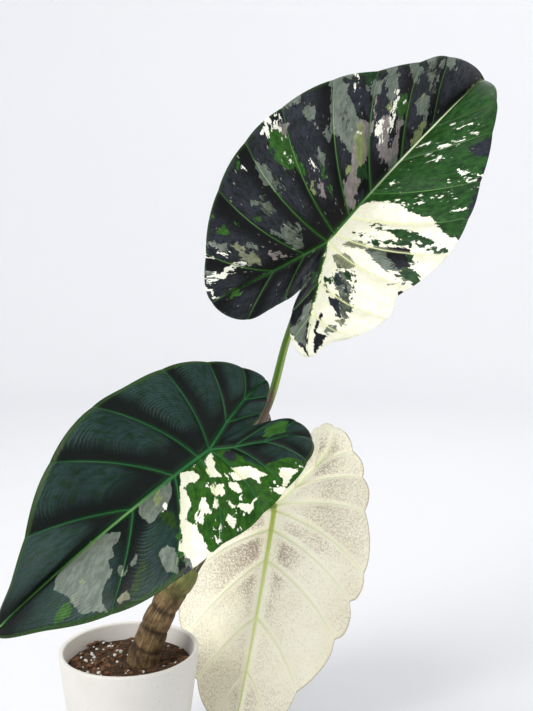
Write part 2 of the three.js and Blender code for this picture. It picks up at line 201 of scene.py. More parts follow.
def span_cubic(p0, p1, p2, p3, share):
    """The cubic from p1 to p2. Spans count by the root of their length, which allows for uneven spacing."""
    d0, d1, d2 = (
        np.sqrt(np.linalg.norm(b - a, axis=-1, keepdims=True)) for a, b in ((p0, p1), (p1, p2), (p2, p3))
    )
    slope_in = d1 * ((p1 - p0) / d0 - (p2 - p0) / (d0 + d1) + (p2 - p1) / d1)
    slope_out = d1 * ((p2 - p1) / d1 - (p3 - p1) / (d1 + d2) + (p3 - p2) / d2)
    s = share[..., None]
    return (
        (2 * s**3 - 3 * s**2 + 1) * p1
        + (s**3 - 2 * s**2 + s) * slope_in
        + (3 * s**2 - 2 * s**3) * p2
        + (s**3 - s**2) * slope_out
    )


def smooth_path(points, count, fine=60):
    """count + 1 points, evenly spaced along the smooth line through the given ones, and their directions."""
    given = np.array(points, float)
    line = np.vstack([2 * given[0] - given[1], given, 2 * given[-1] - given[-2]])
    spans = len(given) - 1
    span = np.repeat(np.arange(spans), fine)
    share = np.tile(np.arange(fine) / fine, spans)
    dense = span_cubic(line[span], line[span + 1], line[span + 2], line[span + 3], share)
    dense = np.vstack([dense, given[-1]])
    length = np.concatenate([[0], np.cumsum(np.linalg.norm(np.diff(dense, axis=0), axis=1))])
    even = np.linspace(0, length[-1], count + 1)
    path = np.stack([np.interp(even, length, dense[:, i]) for i in range(3)], axis=1)
    return path, unit(np.gradient(path, axis=0))


# Meshes


def grid_faces(grid):
    """Corners of each quad in a grid of vertex numbers or places, going round from (i, j) by (i + 1, j)."""
    corners = np.stack([grid[:-1, :-1], grid[1:, :-1], grid[1:, 1:], grid[:-1, 1:]], axis=2)
    return corners.reshape(-1, 4, *grid.shape[2:])


def turns(sides):
    """Even angles round a full turn."""
    return 2 * np.pi * np.arange(sides) / sides


def spin(radius, height, sides):
    """Rings of points round the Z axis: a radius for each ring, and a height for each ring or point."""
    x, y = radius[:, None] * np.cos(turns(sides)), radius[:, None] * np.sin(turns(sides))
    return np.stack(np.broadcast_arrays(x, y, height), axis=-1)


def ring_faces(rings):
    """Quads between rings of points, each joined to itself, and the rings' vertex numbers."""
    ids = np.arange(rings.shape[0] * rings.shape[1]).reshape(rings.shape[:2])
    return grid_faces(np.hstack([ids, ids[:, :1]])), ids


def shut_rings(rings, first, last):
    """Points and faces of rings in a row, shut at both ends by a fan of quads round a middle point."""
    faces, ids = ring_faces(rings)
    fans = []
    for middle, ring, way in ((ids.size, ids[0], 1), (ids.size + 1, ids[-1], -1)):
        a, b, c = (ring[0::2], ring[1::2], np.roll(ring, -1)[1::2])[::way]
        fans.append(np.stack([np.full_like(a, middle), a, b, c], axis=1))
    return np.vstack([rings.reshape(-1, 3), [first, last]]), np.vstack([faces, *fans])


def add_piece(name, points, faces, slot, materials, chart=None, fields=(), face_materials=None, finer=True):
    """A piece from points in mm and an array of faces. chart is its UV map, fields are numbers on points.

    A finer piece stands in the place of the node of that name. One without a slot isn't part of the plant.
    """
    node = name if finer else None
    name = name + "_fine" if finer else name
    mesh = bpy.data.meshes.new(name)
    corners = faces.shape[1]
    mesh.vertices.add(len(points))
    mesh.vertices.foreach_set("co", (np.asarray(points) * MM).astype(np.float32).ravel())
    mesh.loops.add(faces.size)
    mesh.loops.foreach_set("vertex_index", faces.astype(np.int32).ravel())
    mesh.polygons.add(len(faces))
    mesh.polygons.foreach_set("loop_start", np.arange(0, faces.size, corners, dtype=np.int32))
    if face_materials is not None:
        mesh.polygons.foreach_set("material_index", face_materials.astype(np.int32))
    if chart is not None:
        layer = mesh.uv_layers.new(name="chart")
        layer.uv.foreach_set("vector", chart.astype(np.float32).ravel())
    for field, values in dict(fields).items():
        attribute = mesh.attributes.new(field, "FLOAT", "POINT")
        attribute.data.foreach_set("value", values.astype(np.float32).ravel())
    mesh.update(calc_edges=True)
    mesh.validate()
    mesh.shade_smooth()
    for material in materials:
        mesh.materials.append(material)
    piece = bpy.data.objects.new(name, mesh)
    bpy.context.scene.collection.objects.link(piece)
    if slot:
        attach(piece, "root")
    if node:
        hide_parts(node)
    return piece


# Materials


class Value:
    """A socket that gives a number, colour or place. Sums on it add Math nodes, also with a number first."""

    def __init__(self, finish, socket):
        self.finish = finish
        self.socket = socket

    def __add__(self, other):
        return self.finish.maths("ADD", self, other)

    def __sub__(self, other):
        return self.finish.maths("SUBTRACT", self, other)

    def __rsub__(self, other):
        return self.finish.maths("SUBTRACT", other, self)

    def __mul__(self, other):
        return self.finish.maths("MULTIPLY", self, other)

    def __pow__(self, other):
        return self.finish.maths("POWER", self, other)

    def __abs__(self):
        return self.finish.maths("ABSOLUTE", self)

    __radd__ = __add__
    __rmul__ = __mul__


class Finish:
    """A material made of nodes, with a Principled shader at its end."""

    def __init__(self, name):
        self.material = bpy.data.materials.new(name)
        self.material.use_nodes = True
        self.tree = self.material.node_tree
        self.tree.nodes.clear()

    def node(self, kind, settings=None, sockets=None, output=0):
        """Adds a node: its settings first, then values or links into its sockets."""
        made = self.tree.nodes.new(kind)
        for key, value in (settings or {}).items():
            setattr(made, key, value)
        for key, value in (sockets or {}).items():
            socket = made.inputs[key]
            if isinstance(value, Value):
                self.tree.links.new(value.socket, socket)
            else:
                socket.default_value = (*value, 1) if socket.type == "RGBA" else value
        return Value(self, made.outputs[output])

    def maths(self, operation, *values):
        return self.node("ShaderNodeMath", {"operation": operation}, dict(enumerate(values)))

    def step(self, value, low, high):
        """0 below low, 1 above high and a smooth way between. high below low turns it round."""
        if low > high:
            return 1 - self.step(value, high, low)
        sockets = {"Value": value, "From Min": low, "From Max": high}
        return self.node("ShaderNodeMapRange", {"interpolation_type": "SMOOTHSTEP"}, sockets)

    def mix(self, share, first, second, blend="MIX"):
        settings = {"data_type": "RGBA", "blend_type": blend}
        return self.node("ShaderNodeMix", settings, {0: share, 6: first, 7: second}, 2)

    def place(self):
        return self.node("ShaderNodeTexCoord", output="Object")

    def chart(self, across, along):
        """The piece's own map, stretched to that many units across and along."""
        uv = self.node("ShaderNodeUVMap", {"uv_map": "chart"})
        settings = {"operation": "MULTIPLY"}
        return self.node("ShaderNodeVectorMath", settings, {0: uv, 1: (across, along, 0.0)})

    def channels(self, vector):
        """The three numbers of a colour or place."""
        made = self.node("ShaderNodeSeparateXYZ", sockets={0: vector}).socket.node
        return [Value(self, socket) for socket in made.outputs]

    def noise(self, vector, scale, detail=3.0, roughness=0.5, distortion=0.0):
        sockets = {
            "Vector": vector, "Scale": scale, "Detail": detail,
            "Roughness": roughness, "Distortion": distortion,
        }
        return self.node("ShaderNodeTexNoise", None, sockets)

    def cells(self, vector):
        """Three random numbers for each cell of a flat Voronoi pattern about one unit wide."""
        sockets = {"Vector": vector, "Scale": 1.0}
        pattern = self.node("ShaderNodeTexVoronoi", {"voronoi_dimensions": "2D"}, sockets, "Color")
        return self.channels(pattern)

    def field(self, name):
        return self.node("ShaderNodeAttribute", {"attribute_name": name}, output="Fac")

    def bump(self, height, distance, strength):
        sockets = {"Height": height, "Distance": distance, "Strength": strength}
        return self.node("ShaderNodeBump", None, sockets)

    def end(self, colour, roughness, specular=0.5, relief=None):
        """The finished material: a Principled shader with these values."""
        sockets = {"Base Color": colour, "Roughness": roughness, "Specular IOR Level": specular}
        if relief is not None:
            sockets["Normal"] = relief
        shader = self.node("ShaderNodeBsdfPrincipled", None, sockets)
        surface = self.tree.nodes.new("ShaderNodeOutputMaterial").inputs["Surface"]
        self.tree.links.new(shader.socket, surface)
        return self.material


# Blades


def walk_arcs(distance, start, arcs):
    """How far and how high a chain of arcs leads after a distance; each arc is a length and a bend."""
    angle = np.full_like(distance, start)
    along = np.zeros_like(distance)
    rise = np.zeros_like(distance)
    left = distance.copy()
    for i, (length, bend) in enumerate(arcs):
        step = left if i == len(arcs) - 1 else np.minimum(left, length)
        turned = angle + bend * step
        along += (np.sin(turned) - np.sin(angle)) / bend
        rise += (np.cos(angle) - np.cos(turned)) / bend
        angle = turned
        left = left - step
    return along, rise, angle


def blade_axes(leaf):
    """Joint, and the directions of the tip, of the upper face and of the leaf's left."""
    heading, lean, turn = (math.radians(leaf[key]) for key in ("heading", "lean", "turn"))
    tip = np.array([
        math.cos(heading) * math.cos(lean),
        math.sin(lean),
        math.sin(heading) * math.cos(lean),
    ])
    front = np.array([0.0, -1.0, 0.0])
    front = unit(front - front.dot(tip) * tip)
    side = np.cross(front, tip)
    normal = leaf["face"] * (front * math.cos(turn) + side * math.sin(turn))
    return np.array(leaf["joint"], float), tip, normal, np.cross(normal, tip)


def blade_point(leaf, x, v):
    """Middle surface: along the bent midrib by x, then out by v on the half that rises from it and droops.

    The fold is rounded at the midrib: the rise there is that of a hyperbola whose arms are the two halves.
    """
    joint, tip, normal, left = blade_axes(leaf)
    nod = walk_arcs(np.abs(x), 0.0, [(length, -bend) for length, bend in leaf["nod"]])
    tail = walk_arcs(np.abs(x), 0.0, [(1000, -leaf["tail"])])
    along, rise, angle = (np.where(x >= 0, a, b) for a, b in zip(nod, tail))
    sign = np.where(x >= 0, 1.0, -1.0)
    fold = math.radians(leaf["fold"])
    out, up, _ = walk_arcs(np.abs(v), fold, [(1000, -leaf["droop"])])
    up = up + math.tan(fold) * (np.hypot(v, FOLD_ROUNDING) - np.abs(v))
    raised = normal * np.cos(angle)[..., None] - tip * (sign * np.sin(angle))[..., None]
    return (
        joint
        + tip * (sign * along)[..., None]
        + normal * rise[..., None]
        + left * (np.sign(v) * out)[..., None]
        + raised * up[..., None]
    )


def blade_normal(leaf, x, v, step=0.5):
    along_x = blade_point(leaf, x + step, v) - blade_point(leaf, x - step, v)
    along_v = blade_point(leaf, x, v + step) - blade_point(leaf, x, v - step)
    return unit(np.cross(along_x, along_v))


def rib_roots(leaf):
    """Inner end of each rib in the order of edge: down the midrib, out and back on each lobe's, and up."""
    midrib = [(x, 0) for x in leaf["midrib"]]
    r1, r2, r3 = leaf["right_costa"]
    l1, l2, l3 = leaf["left_costa"]
    down = midrib[1:]
    right, left = (r1, r2, r3, r2, r1), (l1, l2, l3, l2, l1)
    return np.array([midrib[0], *down, *right, midrib[-1], *left, *down[::-1]], float)


def ray(root, edge, share):
    """The line of a rib: straight from root to edge, with a shallow bow away from the tip."""
    delta = edge - root
    steep = delta[..., 1] / np.linalg.norm(delta, axis=-1)
    bow = 4 * RIB_BOW * share * (1 - share) * steep
    across = np.stack([-delta[..., 1], delta[..., 0]], axis=-1)
    return root + delta * share[..., None] + across * bow[..., None]


def crowded(steps, pull=0.7):
    """Shares from 0 to 1 that lie closer together at both ends."""
    even = np.linspace(0, 1, steps + 1)
    return even - pull * np.sin(2 * np.pi * even) / (2 * np.pi)


def panel_places(leaf, sector, across):
    """How far each column lies across its panel, which spans two standing ribs, and the panel's width."""
    edge = np.array(leaf["edge"], float)
    width = np.linalg.norm(np.roll(edge, -1, axis=0) - edge, axis=1)
    following = (sector + 1) % RIB_COUNT
    open_ahead, open_behind = (np.isin(rib, leaf["flat_ribs"]) for rib in (following, sector))
    place = np.where(open_ahead, across / 2, np.where(open_behind, (1 + across) / 2, across))
    beyond = np.where(open_ahead, width[following], 0) + np.where(open_behind, width[sector - 1], 0)
    return place, width[sector] + beyond


def blade_layout(leaf):
    """Flat places of the grid: columns go round the ribs, rows go from the midrib out to the edge."""
    roots = rib_roots(leaf)
    edge = np.array(leaf["edge"], float)
    sector = np.repeat(np.arange(RIB_COUNT), SECTOR_STEPS)
    across = np.tile(crowded(SECTOR_STEPS)[:-1], RIB_COUNT)
    following = (sector + 1) % RIB_COUNT
    root = roots[sector] + (roots[following] - roots[sector]) * across[:, None]
    around = [edge[(sector + i) % RIB_COUNT] for i in (-1, 0, 1, 2)]
    rim = span_cubic(*around, across)
    place, spacing = panel_places(leaf, sector, across)
    arch = 4 * place * (1 - place)
    reach = np.linalg.norm(rim - root, axis=1)
    bulge = np.minimum(leaf["scallop"], spacing / 8) * arch
    for middle, depth, width in leaf["nicks"]:
        bulge = bulge - depth * np.exp(-(((sector + across - middle) / width) ** 2))
    rim = root + (rim - root) * (1 + bulge / reach)[:, None]
    outward = crowded(OUTWARD_STEPS)
    flat = ray(root[:, None], rim[:, None], np.broadcast_to(outward, (len(root), len(outward))))
    return dict(
        root=root, flat=flat, sector=sector, across=across, place=place, outward=outward,
        spacing=spacing, arch=arch,
    )


def line_distance(points, line):
    """Distance of each point from a line of straight pieces, and the nearest place along it as a share."""
    best = np.full(points.shape[:-1], np.inf)
    where = np.zeros(points.shape[:-1])
    pieces = len(line) - 1
    for i in range(pieces):
        start, delta = line[i], line[i + 1] - line[i]
        share = np.clip(((points - start) @ delta) / (delta @ delta), 0, 1)
        distance = np.linalg.norm(points - start - share[..., None] * delta, axis=-1)
        nearer = distance < best
        best = np.where(nearer, distance, best)
        where = np.where(nearer, (i + share) / pieces, where)
    return best, where


def vein_lines(leaf):
    """Every vein in mm as (line, half width at its root, half width at its end)."""
    roots = rib_roots(leaf)
    edge = np.array(leaf["edge"], float)
    joint = np.zeros((1, 2))
    lines = [(np.vstack([joint, [[leaf["midrib"][0] + 8, 0]]]), *MIDRIB_VEIN)]
    for costa, end in zip((leaf["right_costa"], leaf["left_costa"]), COSTA_ENDS):
        lines.append((np.vstack([joint, costa, edge[end]]), *COSTA_VEIN))
    thick, thin = SIDE_VEIN
    for i in range(1, RIB_COUNT):
        if i not in (*COSTA_ENDS, NOTCH, *leaf["flat_ribs"]):
            slim = LOBE_SLIMNESS if i in LOBE_RIBS else 1.0
            slim = FAINT_SLIMNESS if i in leaf["faint_ribs"] else slim
            lines.append((ray(roots[i], edge[i], np.linspace(0, 1, 9)), thick * slim, thin))
    return lines


def vein_field(leaf, flat, widening):
    """Distance from the nearest vein in units of its half width there."""
    field = np.full(flat.shape[:-1], 9.0)
    for line, thick, thin in vein_lines(leaf):
        distance, along = line_distance(flat, line)
        field = np.minimum(field, distance / (widening * (thick + (thin - thick) * along)))
    return field


def blade_surfaces(leaf, layout):
    """Upper face, under face and rim of a blade, and the vein field of each face.

    Upper face: middle surface + normal x (swell between ribs + edge wave - rim roll - grooves on the veins).
    Under face: the same without the grooves, less the thickness, the midrib's ridge and the side ribs.
    """
    flat, outward, arch = layout["flat"], layout["outward"], layout["arch"][:, None]
    x, v = flat[..., 0], flat[..., 1]
    middle = blade_point(leaf, x, v)
    normal = blade_normal(leaf, x, v)
    turn = 2 * np.pi * (layout["sector"] + layout["across"])[:, None] / RIB_COUNT
    swell = SWELL * layout["spacing"][:, None] * arch**0.8 * np.sin(np.pi * outward**0.8)
    wave = leaf["wave"] * outward**3 * np.sin(WAVES * turn + leaf["wave_phase"])
    roll = RIM_ROLL * smoothstep(RIM_ROLL_START, 1, outward) ** 2
    base = swell + wave - roll
    thickness = BLADE_THICKNESS + (EDGE_THICKNESS - BLADE_THICKNESS) * outward
    upper_vein = vein_field(leaf, flat, 1.0)
    under_vein = vein_field(leaf, flat, UNDER_VEIN_WIDENING)
    from_joint = np.clip(np.linalg.norm(layout["root"], axis=1) / HUB_FADE, 0, 1)[:, None]
    hub = HUB_RIB + (MIDRIB_RIB - HUB_RIB) * np.sqrt(from_joint)
    midrib = hub * smoothstep(RIDGE_REACH, 0, outward)
    side_rib = SIDE_RIB * (1 - outward) * smoothstep(0, RIDGE_REACH, outward)
    ridge = (midrib + side_rib) * np.exp(-RIDGE_NARROWNESS * under_vein**2)
    depth = SIDE_GROOVE + MIDRIB_GROOVE * smoothstep(GROOVE_REACH, 0, outward)
    groove = depth * np.exp(-GROOVE_NARROWNESS * upper_vein**2)
    upper = middle + normal * (base - groove)[..., None]
    under = middle + normal * (base - thickness - ridge)[..., None]
    out = unit(middle[:, -1] - middle[:, -2])
    rim = (upper[:, -1] + under[:, -1]) / 2 + out * (0.45 * EDGE_THICKNESS)
    return upper, under, rim, upper_vein, under_vein


def closed(rows):
    """The same rows with the first once more at the end."""
    return np.vstack([rows, rows[:1]])


def make_blade(name, leaf, upper_finish, under_finish):
    """A leaf: both faces of its middle surface on one grid, joined round the rim by a rounded edge."""
    layout = blade_layout(leaf)
    flat, outward = layout["flat"], layout["outward"]
    upper, under, rim, upper_vein, under_vein = blade_surfaces(leaf, layout)

    # Columns that start at the same place share their first vertex
    columns, rows = flat.shape[:2]
    _, first, weld = np.unique(np.round(layout["root"], 4), axis=0, return_index=True, return_inverse=True)
    inner = np.arange(columns * (rows - 1)).reshape(columns, rows - 1)
    ids = np.hstack([weld.reshape(-1, 1), len(first) + inner])
    sheet = len(first) + inner.size
    edge_ids = np.stack([ids[:, -1], 2 * sheet + np.arange(columns), ids[:, -1] + sheet], axis=1)
    upper_faces = grid_faces(closed(ids))
    under_faces = grid_faces(closed(ids + sheet))[:, ::-1]
    faces = np.vstack([upper_faces, under_faces, grid_faces(closed(edge_ids))])
    face_materials = np.zeros(len(faces), int)
    face_materials[len(upper_faces):len(upper_faces) + len(under_faces)] = 1

    def gather(on_upper, on_under, on_rim):
        """Values on the grid of each face and on the rim, in the order of the vertices."""
        sheets = [
            np.concatenate([grid[first, 0], grid[:, 1:].reshape(-1, *grid.shape[2:])])
            for grid in (on_upper, on_under)
        ]
        return np.concatenate([*sheets, on_rim])

    steps = np.linalg.norm(np.diff(closed(flat[:, -1]), axis=0), axis=1)
    around = np.concatenate([[0], np.cumsum(steps)]) / CHART_UNIT
    reach = np.linalg.norm(flat[:, -1] - flat[:, 0], axis=1) / CHART_UNIT
    places = np.stack(np.broadcast_arrays(around[:, None], closed(reach[:, None]) * outward), axis=-1)
    face_chart = grid_faces(places)
    edge_chart = grid_faces(np.repeat(places[:, -1:], 3, axis=1))
    chart = np.concatenate([face_chart, face_chart[:, ::-1], edge_chart])

    fields = {"vein": gather(upper_vein, under_vein, upper_vein[:, -1])}
    for field, grid in leaf_fields(name, leaf, layout).items():
        fields[field] = gather(grid, grid, grid[:, -1])
    return add_piece(
        name, gather(upper, under, rim), faces, SLOTS[name], (upper_finish, under_finish),
        chart, fields, face_materials,
    )


# Markings: places are leaf coordinates in mm. An area is an outline. A fleck is (x, v, length, width) with
# its length along the nearest rib, turned by a fifth number in degrees. A streak is (x, v, x, v, width).
MARKINGS = {
    "leaf_upper": {
        "leafgreen": dict(
            areas=(
                ((40, 0), (216, 0), (228, -8), (190, -44), (155, -66), (105, -94), (66, -112), (51, -106),
                 (50, -96), (53, -79), (57, -75), (53, -57), (53, -47), (56, -38), (54, -24), (48, -7),
                 (39, 0)),
            ),
        ),
        "cream": dict(
            areas=(
                ((40, 0), (48, -7), (54, -24), (56, -38), (53, -57), (57, -75), (50, -96), (51, -112),
                 (36, -120), (0, -114), (-26, -118), (-58, -104), (-92, -74), (-76, -60), (-55, -40),
                 (-34, -26), (-14, -11), (0, 0)),
                ((-79, -35), (-81, -51), (-83, -66), (-78, -73), (-88, -66), (-90, -44)),
            ),
        ),
        "grey": dict(
            areas=(
                ((95, 91), (99, 88), (103, 79), (98, 79), (94, 64), (90, 58), (90, 46), (81, 45),
                 (65, 38), (68, 56), (66, 64), (80, 78)),
                ((9, -42), (16, -46), (18, -62), (15, -76), (9, -86), (5, -76), (6, -61)),
                ((-61, -67), (-55, -66), (-51, -73), (-55, -77)),
                ((-72, -37), (-78, -34), (-80, -50), (-79, -59), (-66, -47), (-48, -34), (-55, -31)),
            ),
            flecks=(
                (118, 63, 17, 12), (133, 56, 34, 13), (93, 8, 20, 11), (158, 47, 17, 12),
                (179, 44, 15, 8), (195, 32, 15, 8), (172, 29, 5, 3), (144, 21, 20, 14), (135, 9, 12, 6),
                (60, 104, 20, 6, 90), (63, 87, 13, 9), (61, 63, 11, 5), (45, 55, 13, 7), (4, 80, 27, 8),
                (-18, 28, 24, 12), (-8, 29, 10, 5), (-25, 42, 6, 3), (-18, 72, 6, 5), (-62, 71, 19, 5),
                (-84, 62, 12, 5), (-45, 51, 9, 4), (-1, -87, 4, 2), (6, -95, 4, 3), (185, 36, 8, 4),
                (166, 36, 6, 3),
            ),
            streaks=(
                (93, 92, 112, 82, 2.4),
            ),
        ),
        "mauve": dict(
            areas=(
                ((90, 52), (97, 42), (82, 30), (60, 17), (40, 6), (33, 9), (50, 22), (62, 33), (70, 42)),
                ((88, 7), (84, 13), (96, 27), (108, 38), (114, 34), (108, 18), (100, 8)),
            ),
            flecks=(
                (43, 15, 30, 10), (107, 50, 16, 3), (98, 27, 38, 11), (114, 23, 17, 7), (59, 74, 5, 4),
                (27, 36, 13, 4), (39, 95, 9, 9), (-39, 31, 7, 5), (-34, 24, 6, 3),
            ),
        ),
        "lime": dict(
            flecks=(
                (75, 36, 36, 9), (54, 30, 10, 5), (51, 15, 5, 3), (117, 41, 10, 4), (150, 27, 6, 4),
                (134, 8, 6, 4), (122, 5, 20, 8), (24, 45, 12, 3), (222, -2, 6, 4), (215, -10, 4, 3),
            ),
            streaks=(
                (192, 1, 220, 3, 2.4),
            ),
        ),
        "olive": dict(
            areas=(
                ((4, -19), (12, -21), (14, -33), (11, -43), (7, -34)),
                ((-8, -15), (0, -29), (-3, -42), (-8, -46), (-14, -34)),
                ((-50, -69), (-47, -80), (-43, -76)),
            ),
            flecks=(
                (-53, 45, 18, 8), (-53, 59, 10, 4),
            ),
        ),
        "pepper": dict(
            areas=(
                ((-13, -33), (-10, -46), (-19, -62), (-32, -74), (-46, -80), (-46, -68), (-34, -50),
                 (-25, -34)),
                ((14, -38), (20, -48), (24, -62), (20, -92), (8, -100), (4, -88), (12, -70), (10, -50)),
                ((-30, -3), (-52, -10), (-74, -24), (-78, -40), (-70, -40), (-48, -22), (-28, -12)),
            ),
            flecks=(
                (-16, 30, 22, 11), (-14, 62, 16, 7), (4, 70, 18, 6), (170, 34, 30, 12), (80, 62, 20, 8),
            ),
        ),
        "slate": dict(
            areas=(
                ((102, 79), (107, 76), (110, 63), (106, 52), (95, 41), (97, 52), (102, 61), (92, 58),
                 (97, 71)),
                # This patch is painted shade in a fold by the right edge.
                ((128, -51), (147, -61), (130, -73), (124, -67), (124, -55)),
                ((-20, -32), (-18, -41), (-23, -49), (-26, -44)),
                ((-22, -52), (-27, -63), (-27, -55)),
                ((-37, -45), (-34, -56), (-45, -73), (-40, -51)),
            ),
            flecks=(
                (47, 6, 10, 9), (117, 49, 27, 7), (129, 16, 17, 11), (109, 7, 14, 5), (137, 5, 8, 5),
            ),
            streaks=(
                (128, -75, 100, -89, 6), (100, -89, 70, -103, 5), (182, -48, 128, -75, 3),
            ),
        ),
        "pine": dict(
            areas=(
                ((32, -47), (37, -57), (40, -67), (41, -84), (41, -94), (38, -93), (36, -79), (30, -74),
                 (31, -55)),
                ((20, -41), (22, -48), (18, -52), (17, -47)),
                ((9, -83), (16, -92), (15, -102), (8, -109), (7, -99)),
                ((26, -78), (26, -86), (20, -90), (19, -85)),
                ((-14, -41), (-10, -46), (-18, -59), (-18, -49)),
                ((-29, -13), (-26, -17), (-31, -20), (-37, -20)),
            ),
            flecks=(
                (63, 19, 13, 12), (121, 72, 15, 10), (20, 90, 10, 4), (37, -101, 14, 5), (33, -32, 12, 3),
                (30, -40, 5, 3), (20, -28, 14, 2.5),
            ),
            streaks=(
                (24, -57, 35, -88, 3), (-27, -28, -25, -40, 4), (-32, -31, -34, -41, 3),
            ),
        ),
        "green": dict(
            areas=(
                ((27, 102), (34, 100), (38, 87), (35, 81), (30, 67), (29, 56), (25, 54), (25, 64),
                 (19, 69), (17, 80), (19, 85), (23, 87), (24, 96)),
            ),
            flecks=(
                (129, 34, 21, 11), (38, 46, 12, 4), (31, 30, 8, 2.5), (-5, 103, 5, 3), (-26, 61, 4, 3),
                (-50, 77, 8, 7), (-40, 72, 6, 2), (-46, 90, 3, 3), (-67, 52, 6, 4), (-83, 35, 8, 7),
                (-62, -27, 6, 5),
            ),
        ),
        "black": dict(
            areas=(
                ((21, -60), (26, -72), (27, -81), (23, -80), (16, -91), (10, -83), (15, -66)),
                ((-51, -50), (-58, -53), (-77, -71), (-69, -72), (-59, -74), (-65, -63), (-59, -57),
                 (-51, -54)),
                ((-43, -17), (-57, -18), (-66, -21), (-76, -30), (-72, -37), (-64, -36), (-54, -30),
                 (-40, -26)),
            ),
            flecks=(
                (106, 25, 24, 6), (116, 20, 15, 3), (-44, -10, 10, 3), (-15, -6, 6, 2),
            ),
            streaks=(
                (-6, -98, 7, -109, 1.6), (-26, -5, -44, -5, 1.8), (-44, -5, -31, -13, 1.6),
            ),
        ),
        "white": dict(
            flecks=(
                (80, 45, 4, 2), (71, 37, 4, 2.5), (110, 77, 12, 3), (132, 35, 7, 4), (37, 56, 4, 1.6),
                (29, 105, 9, 6), (36, 108, 6, 6), (36, 102, 9, 6), (36, 96, 8, 2), (43, 106, 7, 5),
                (28, 79, 3, 2), (30, 73, 3, 2), (25, 70, 3, 2), (33, 88, 3, 2), (-3, 98, 3, 2),
                (-65, 66, 9, 3), (-75, 73, 7, 3), (147, -20, 6, 4), (149, -34, 10, 3), (146, -44, 6, 3),
                (126, -31, 5, 3), (132, -38, 10, 4), (122, -30, 9, 2), (115, -6, 8, 2), (109, -24, 7, 4),
                (107, -38, 6, 6), (102, -35, 4, 2), (100, -14, 3, 2), (104, -63, 4, 2), (103, -69, 8, 3),
                (105, -75, 7, 3), (100, -77, 6, 2), (108, -80, 5, 3), (67, -29, 10, 5), (68, -47, 5, 3),
                (56, -32, 6, 4), (78, -68, 9, 3), (79, -79, 4, 2), (75, -63, 4, 2), (70, -89, 4, 2),
                (73, -93, 4, 2), (95, -85, 4, 2), (93, -60, 3, 2), (73, -14, 3, 2), (69, -33, 5, 3),
                (65, -55, 4, 2), (50, -24, 5, 3), (58, -42, 8, 3),
            ),
            streaks=(
                (131, 46, 105, 28, 4.6), (103, 39, 90, 27, 3.6), (-62, 47, -90, 60, 5),
                (-93, 62, -97, 46, 2),
            ),
        ),
    },
    "leaf_left": {
        "fern": dict(
            areas=(
                ((29, 2), (17, 4), (2, 2), (-9, 11), (-9, 35), (-12, 44), (-21, 49), (-30, 53), (-34, 62),
                 (-27, 70), (-9, 80), (18, 84), (35, 84), (57, 84), (76, 80), (74, 57)),
            ),
        ),
        "cream": dict(
            areas=(
                ((24, 5), (22, 15), (29, 23), (31, 14), (38, 21), (44, 34), (50, 37), (54, 42), (53, 50),
                 (55, 61), (59, 69), (58, 80), (74, 80), (71, 63), (71, 54), (66, 48), (63, 50), (61, 42),
                 (29, 2)),
                ((9, 6), (2, 5), (6, 13), (11, 21), (14, 30), (16, 27), (18, 21), (15, 15)),
                ((24, 29), (17, 29), (20, 32), (18, 37), (22, 43), (25, 43), (27, 36)),
                ((8, 31), (5, 33), (2, 28), (-6, 38), (-7, 46), (-8, 55), (-3, 50), (0, 57), (1, 46),
                 (5, 42), (10, 41)),
                ((14, 37), (11, 41), (11, 45), (13, 50), (16, 50), (17, 42)),
                ((26, 50), (24, 50), (25, 54), (24, 57), (21, 58), (16, 62), (13, 61), (9, 61), (10, 63),
                 (14, 63), (16, 66), (22, 67), (24, 59), (27, 57)),
                ((34, 59), (32, 59), (31, 64), (34, 68), (37, 70), (37, 61)),
                ((29, 41), (28, 44), (30, 47), (35, 49)),
                ((35, 35), (34, 36), (37, 45), (39, 51), (41, 49), (43, 45), (47, 52), (50, 52), (50, 43),
                 (42, 41)),
                ((-17, 54), (-23, 61), (-25, 67), (-17, 68), (-10, 71), (-7, 70), (-13, 62)),
                ((-1, 63), (-7, 71), (-10, 76), (-3, 76), (-1, 67)),
            ),
        ),
        "grey": dict(
            areas=(
                ((67, 0), (51, 1), (38, 2), (44, 13), (54, 20), (60, 19), (64, 23), (72, 23), (71, 10)),
                ((74, 45), (73, 51), (74, 57), (82, 68), (84, 65), (86, 59), (83, 49), (80, 46)),
                ((72, 63), (72, 69), (74, 72), (80, 72)),
                ((104, -1), (99, 0), (89, 11), (94, 16), (100, 17), (102, 25), (108, 23), (109, 31),
                 (117, 35), (125, 40), (128, 50), (141, 38), (140, 24), (144, 14), (137, 4), (122, 1)),
                ((91, 34), (91, 36), (95, 40), (98, 40), (99, 37)),
            ),
            flecks=(
                (105, 34, 6, 3), (104, 38, 5, 4),
            ),
        ),
        "lime": dict(
            flecks=(
                (129, 24, 4, 3), (138, 27, 4, 2.5), (105, 1, 4, 2),
            ),
            streaks=(
                (50, 2, 58, 13, 3.6),
            ),
        ),
        "olive": dict(
            areas=(
                ((120, 49), (111, 50), (112, 56), (119, 53)),
            ),
        ),
        "moss": dict(
            areas=(
                ((63, 22), (60, 21), (55, 26), (58, 35), (62, 40), (65, 32)),
            ),
            streaks=(
                (94, 45, 102, 50, 5), (102, 50, 109, 55, 5),
            ),
        ),
        "slate": dict(
            areas=(
                ((-2, 12), (-7, 12), (-9, 17), (-7, 23), (-4, 25), (-1, 16)),
                ((70, 60), (74, 60), (75, 63), (71, 63)),
                ((75, 69), (79, 69), (79, 72), (75, 72)),
            ),
        ),
        "green": dict(
            areas=(
                ((151, 27), (145, 27), (141, 28), (143, 33), (151, 34), (156, 30)),
                ((-34, 22), (-42, 17), (-56, 21), (-57, 25), (-48, 31), (-43, 29)),
            ),
            flecks=(
                (20, 29, 8, 5), (45, 45, 8, 1.5), (20, 8, 6, 5), (64, 46, 8, 5), (49, 39, 7, 4),
                (73, 59, 6, 3), (28, 24, 10, 6), (35, 20, 5, 4),
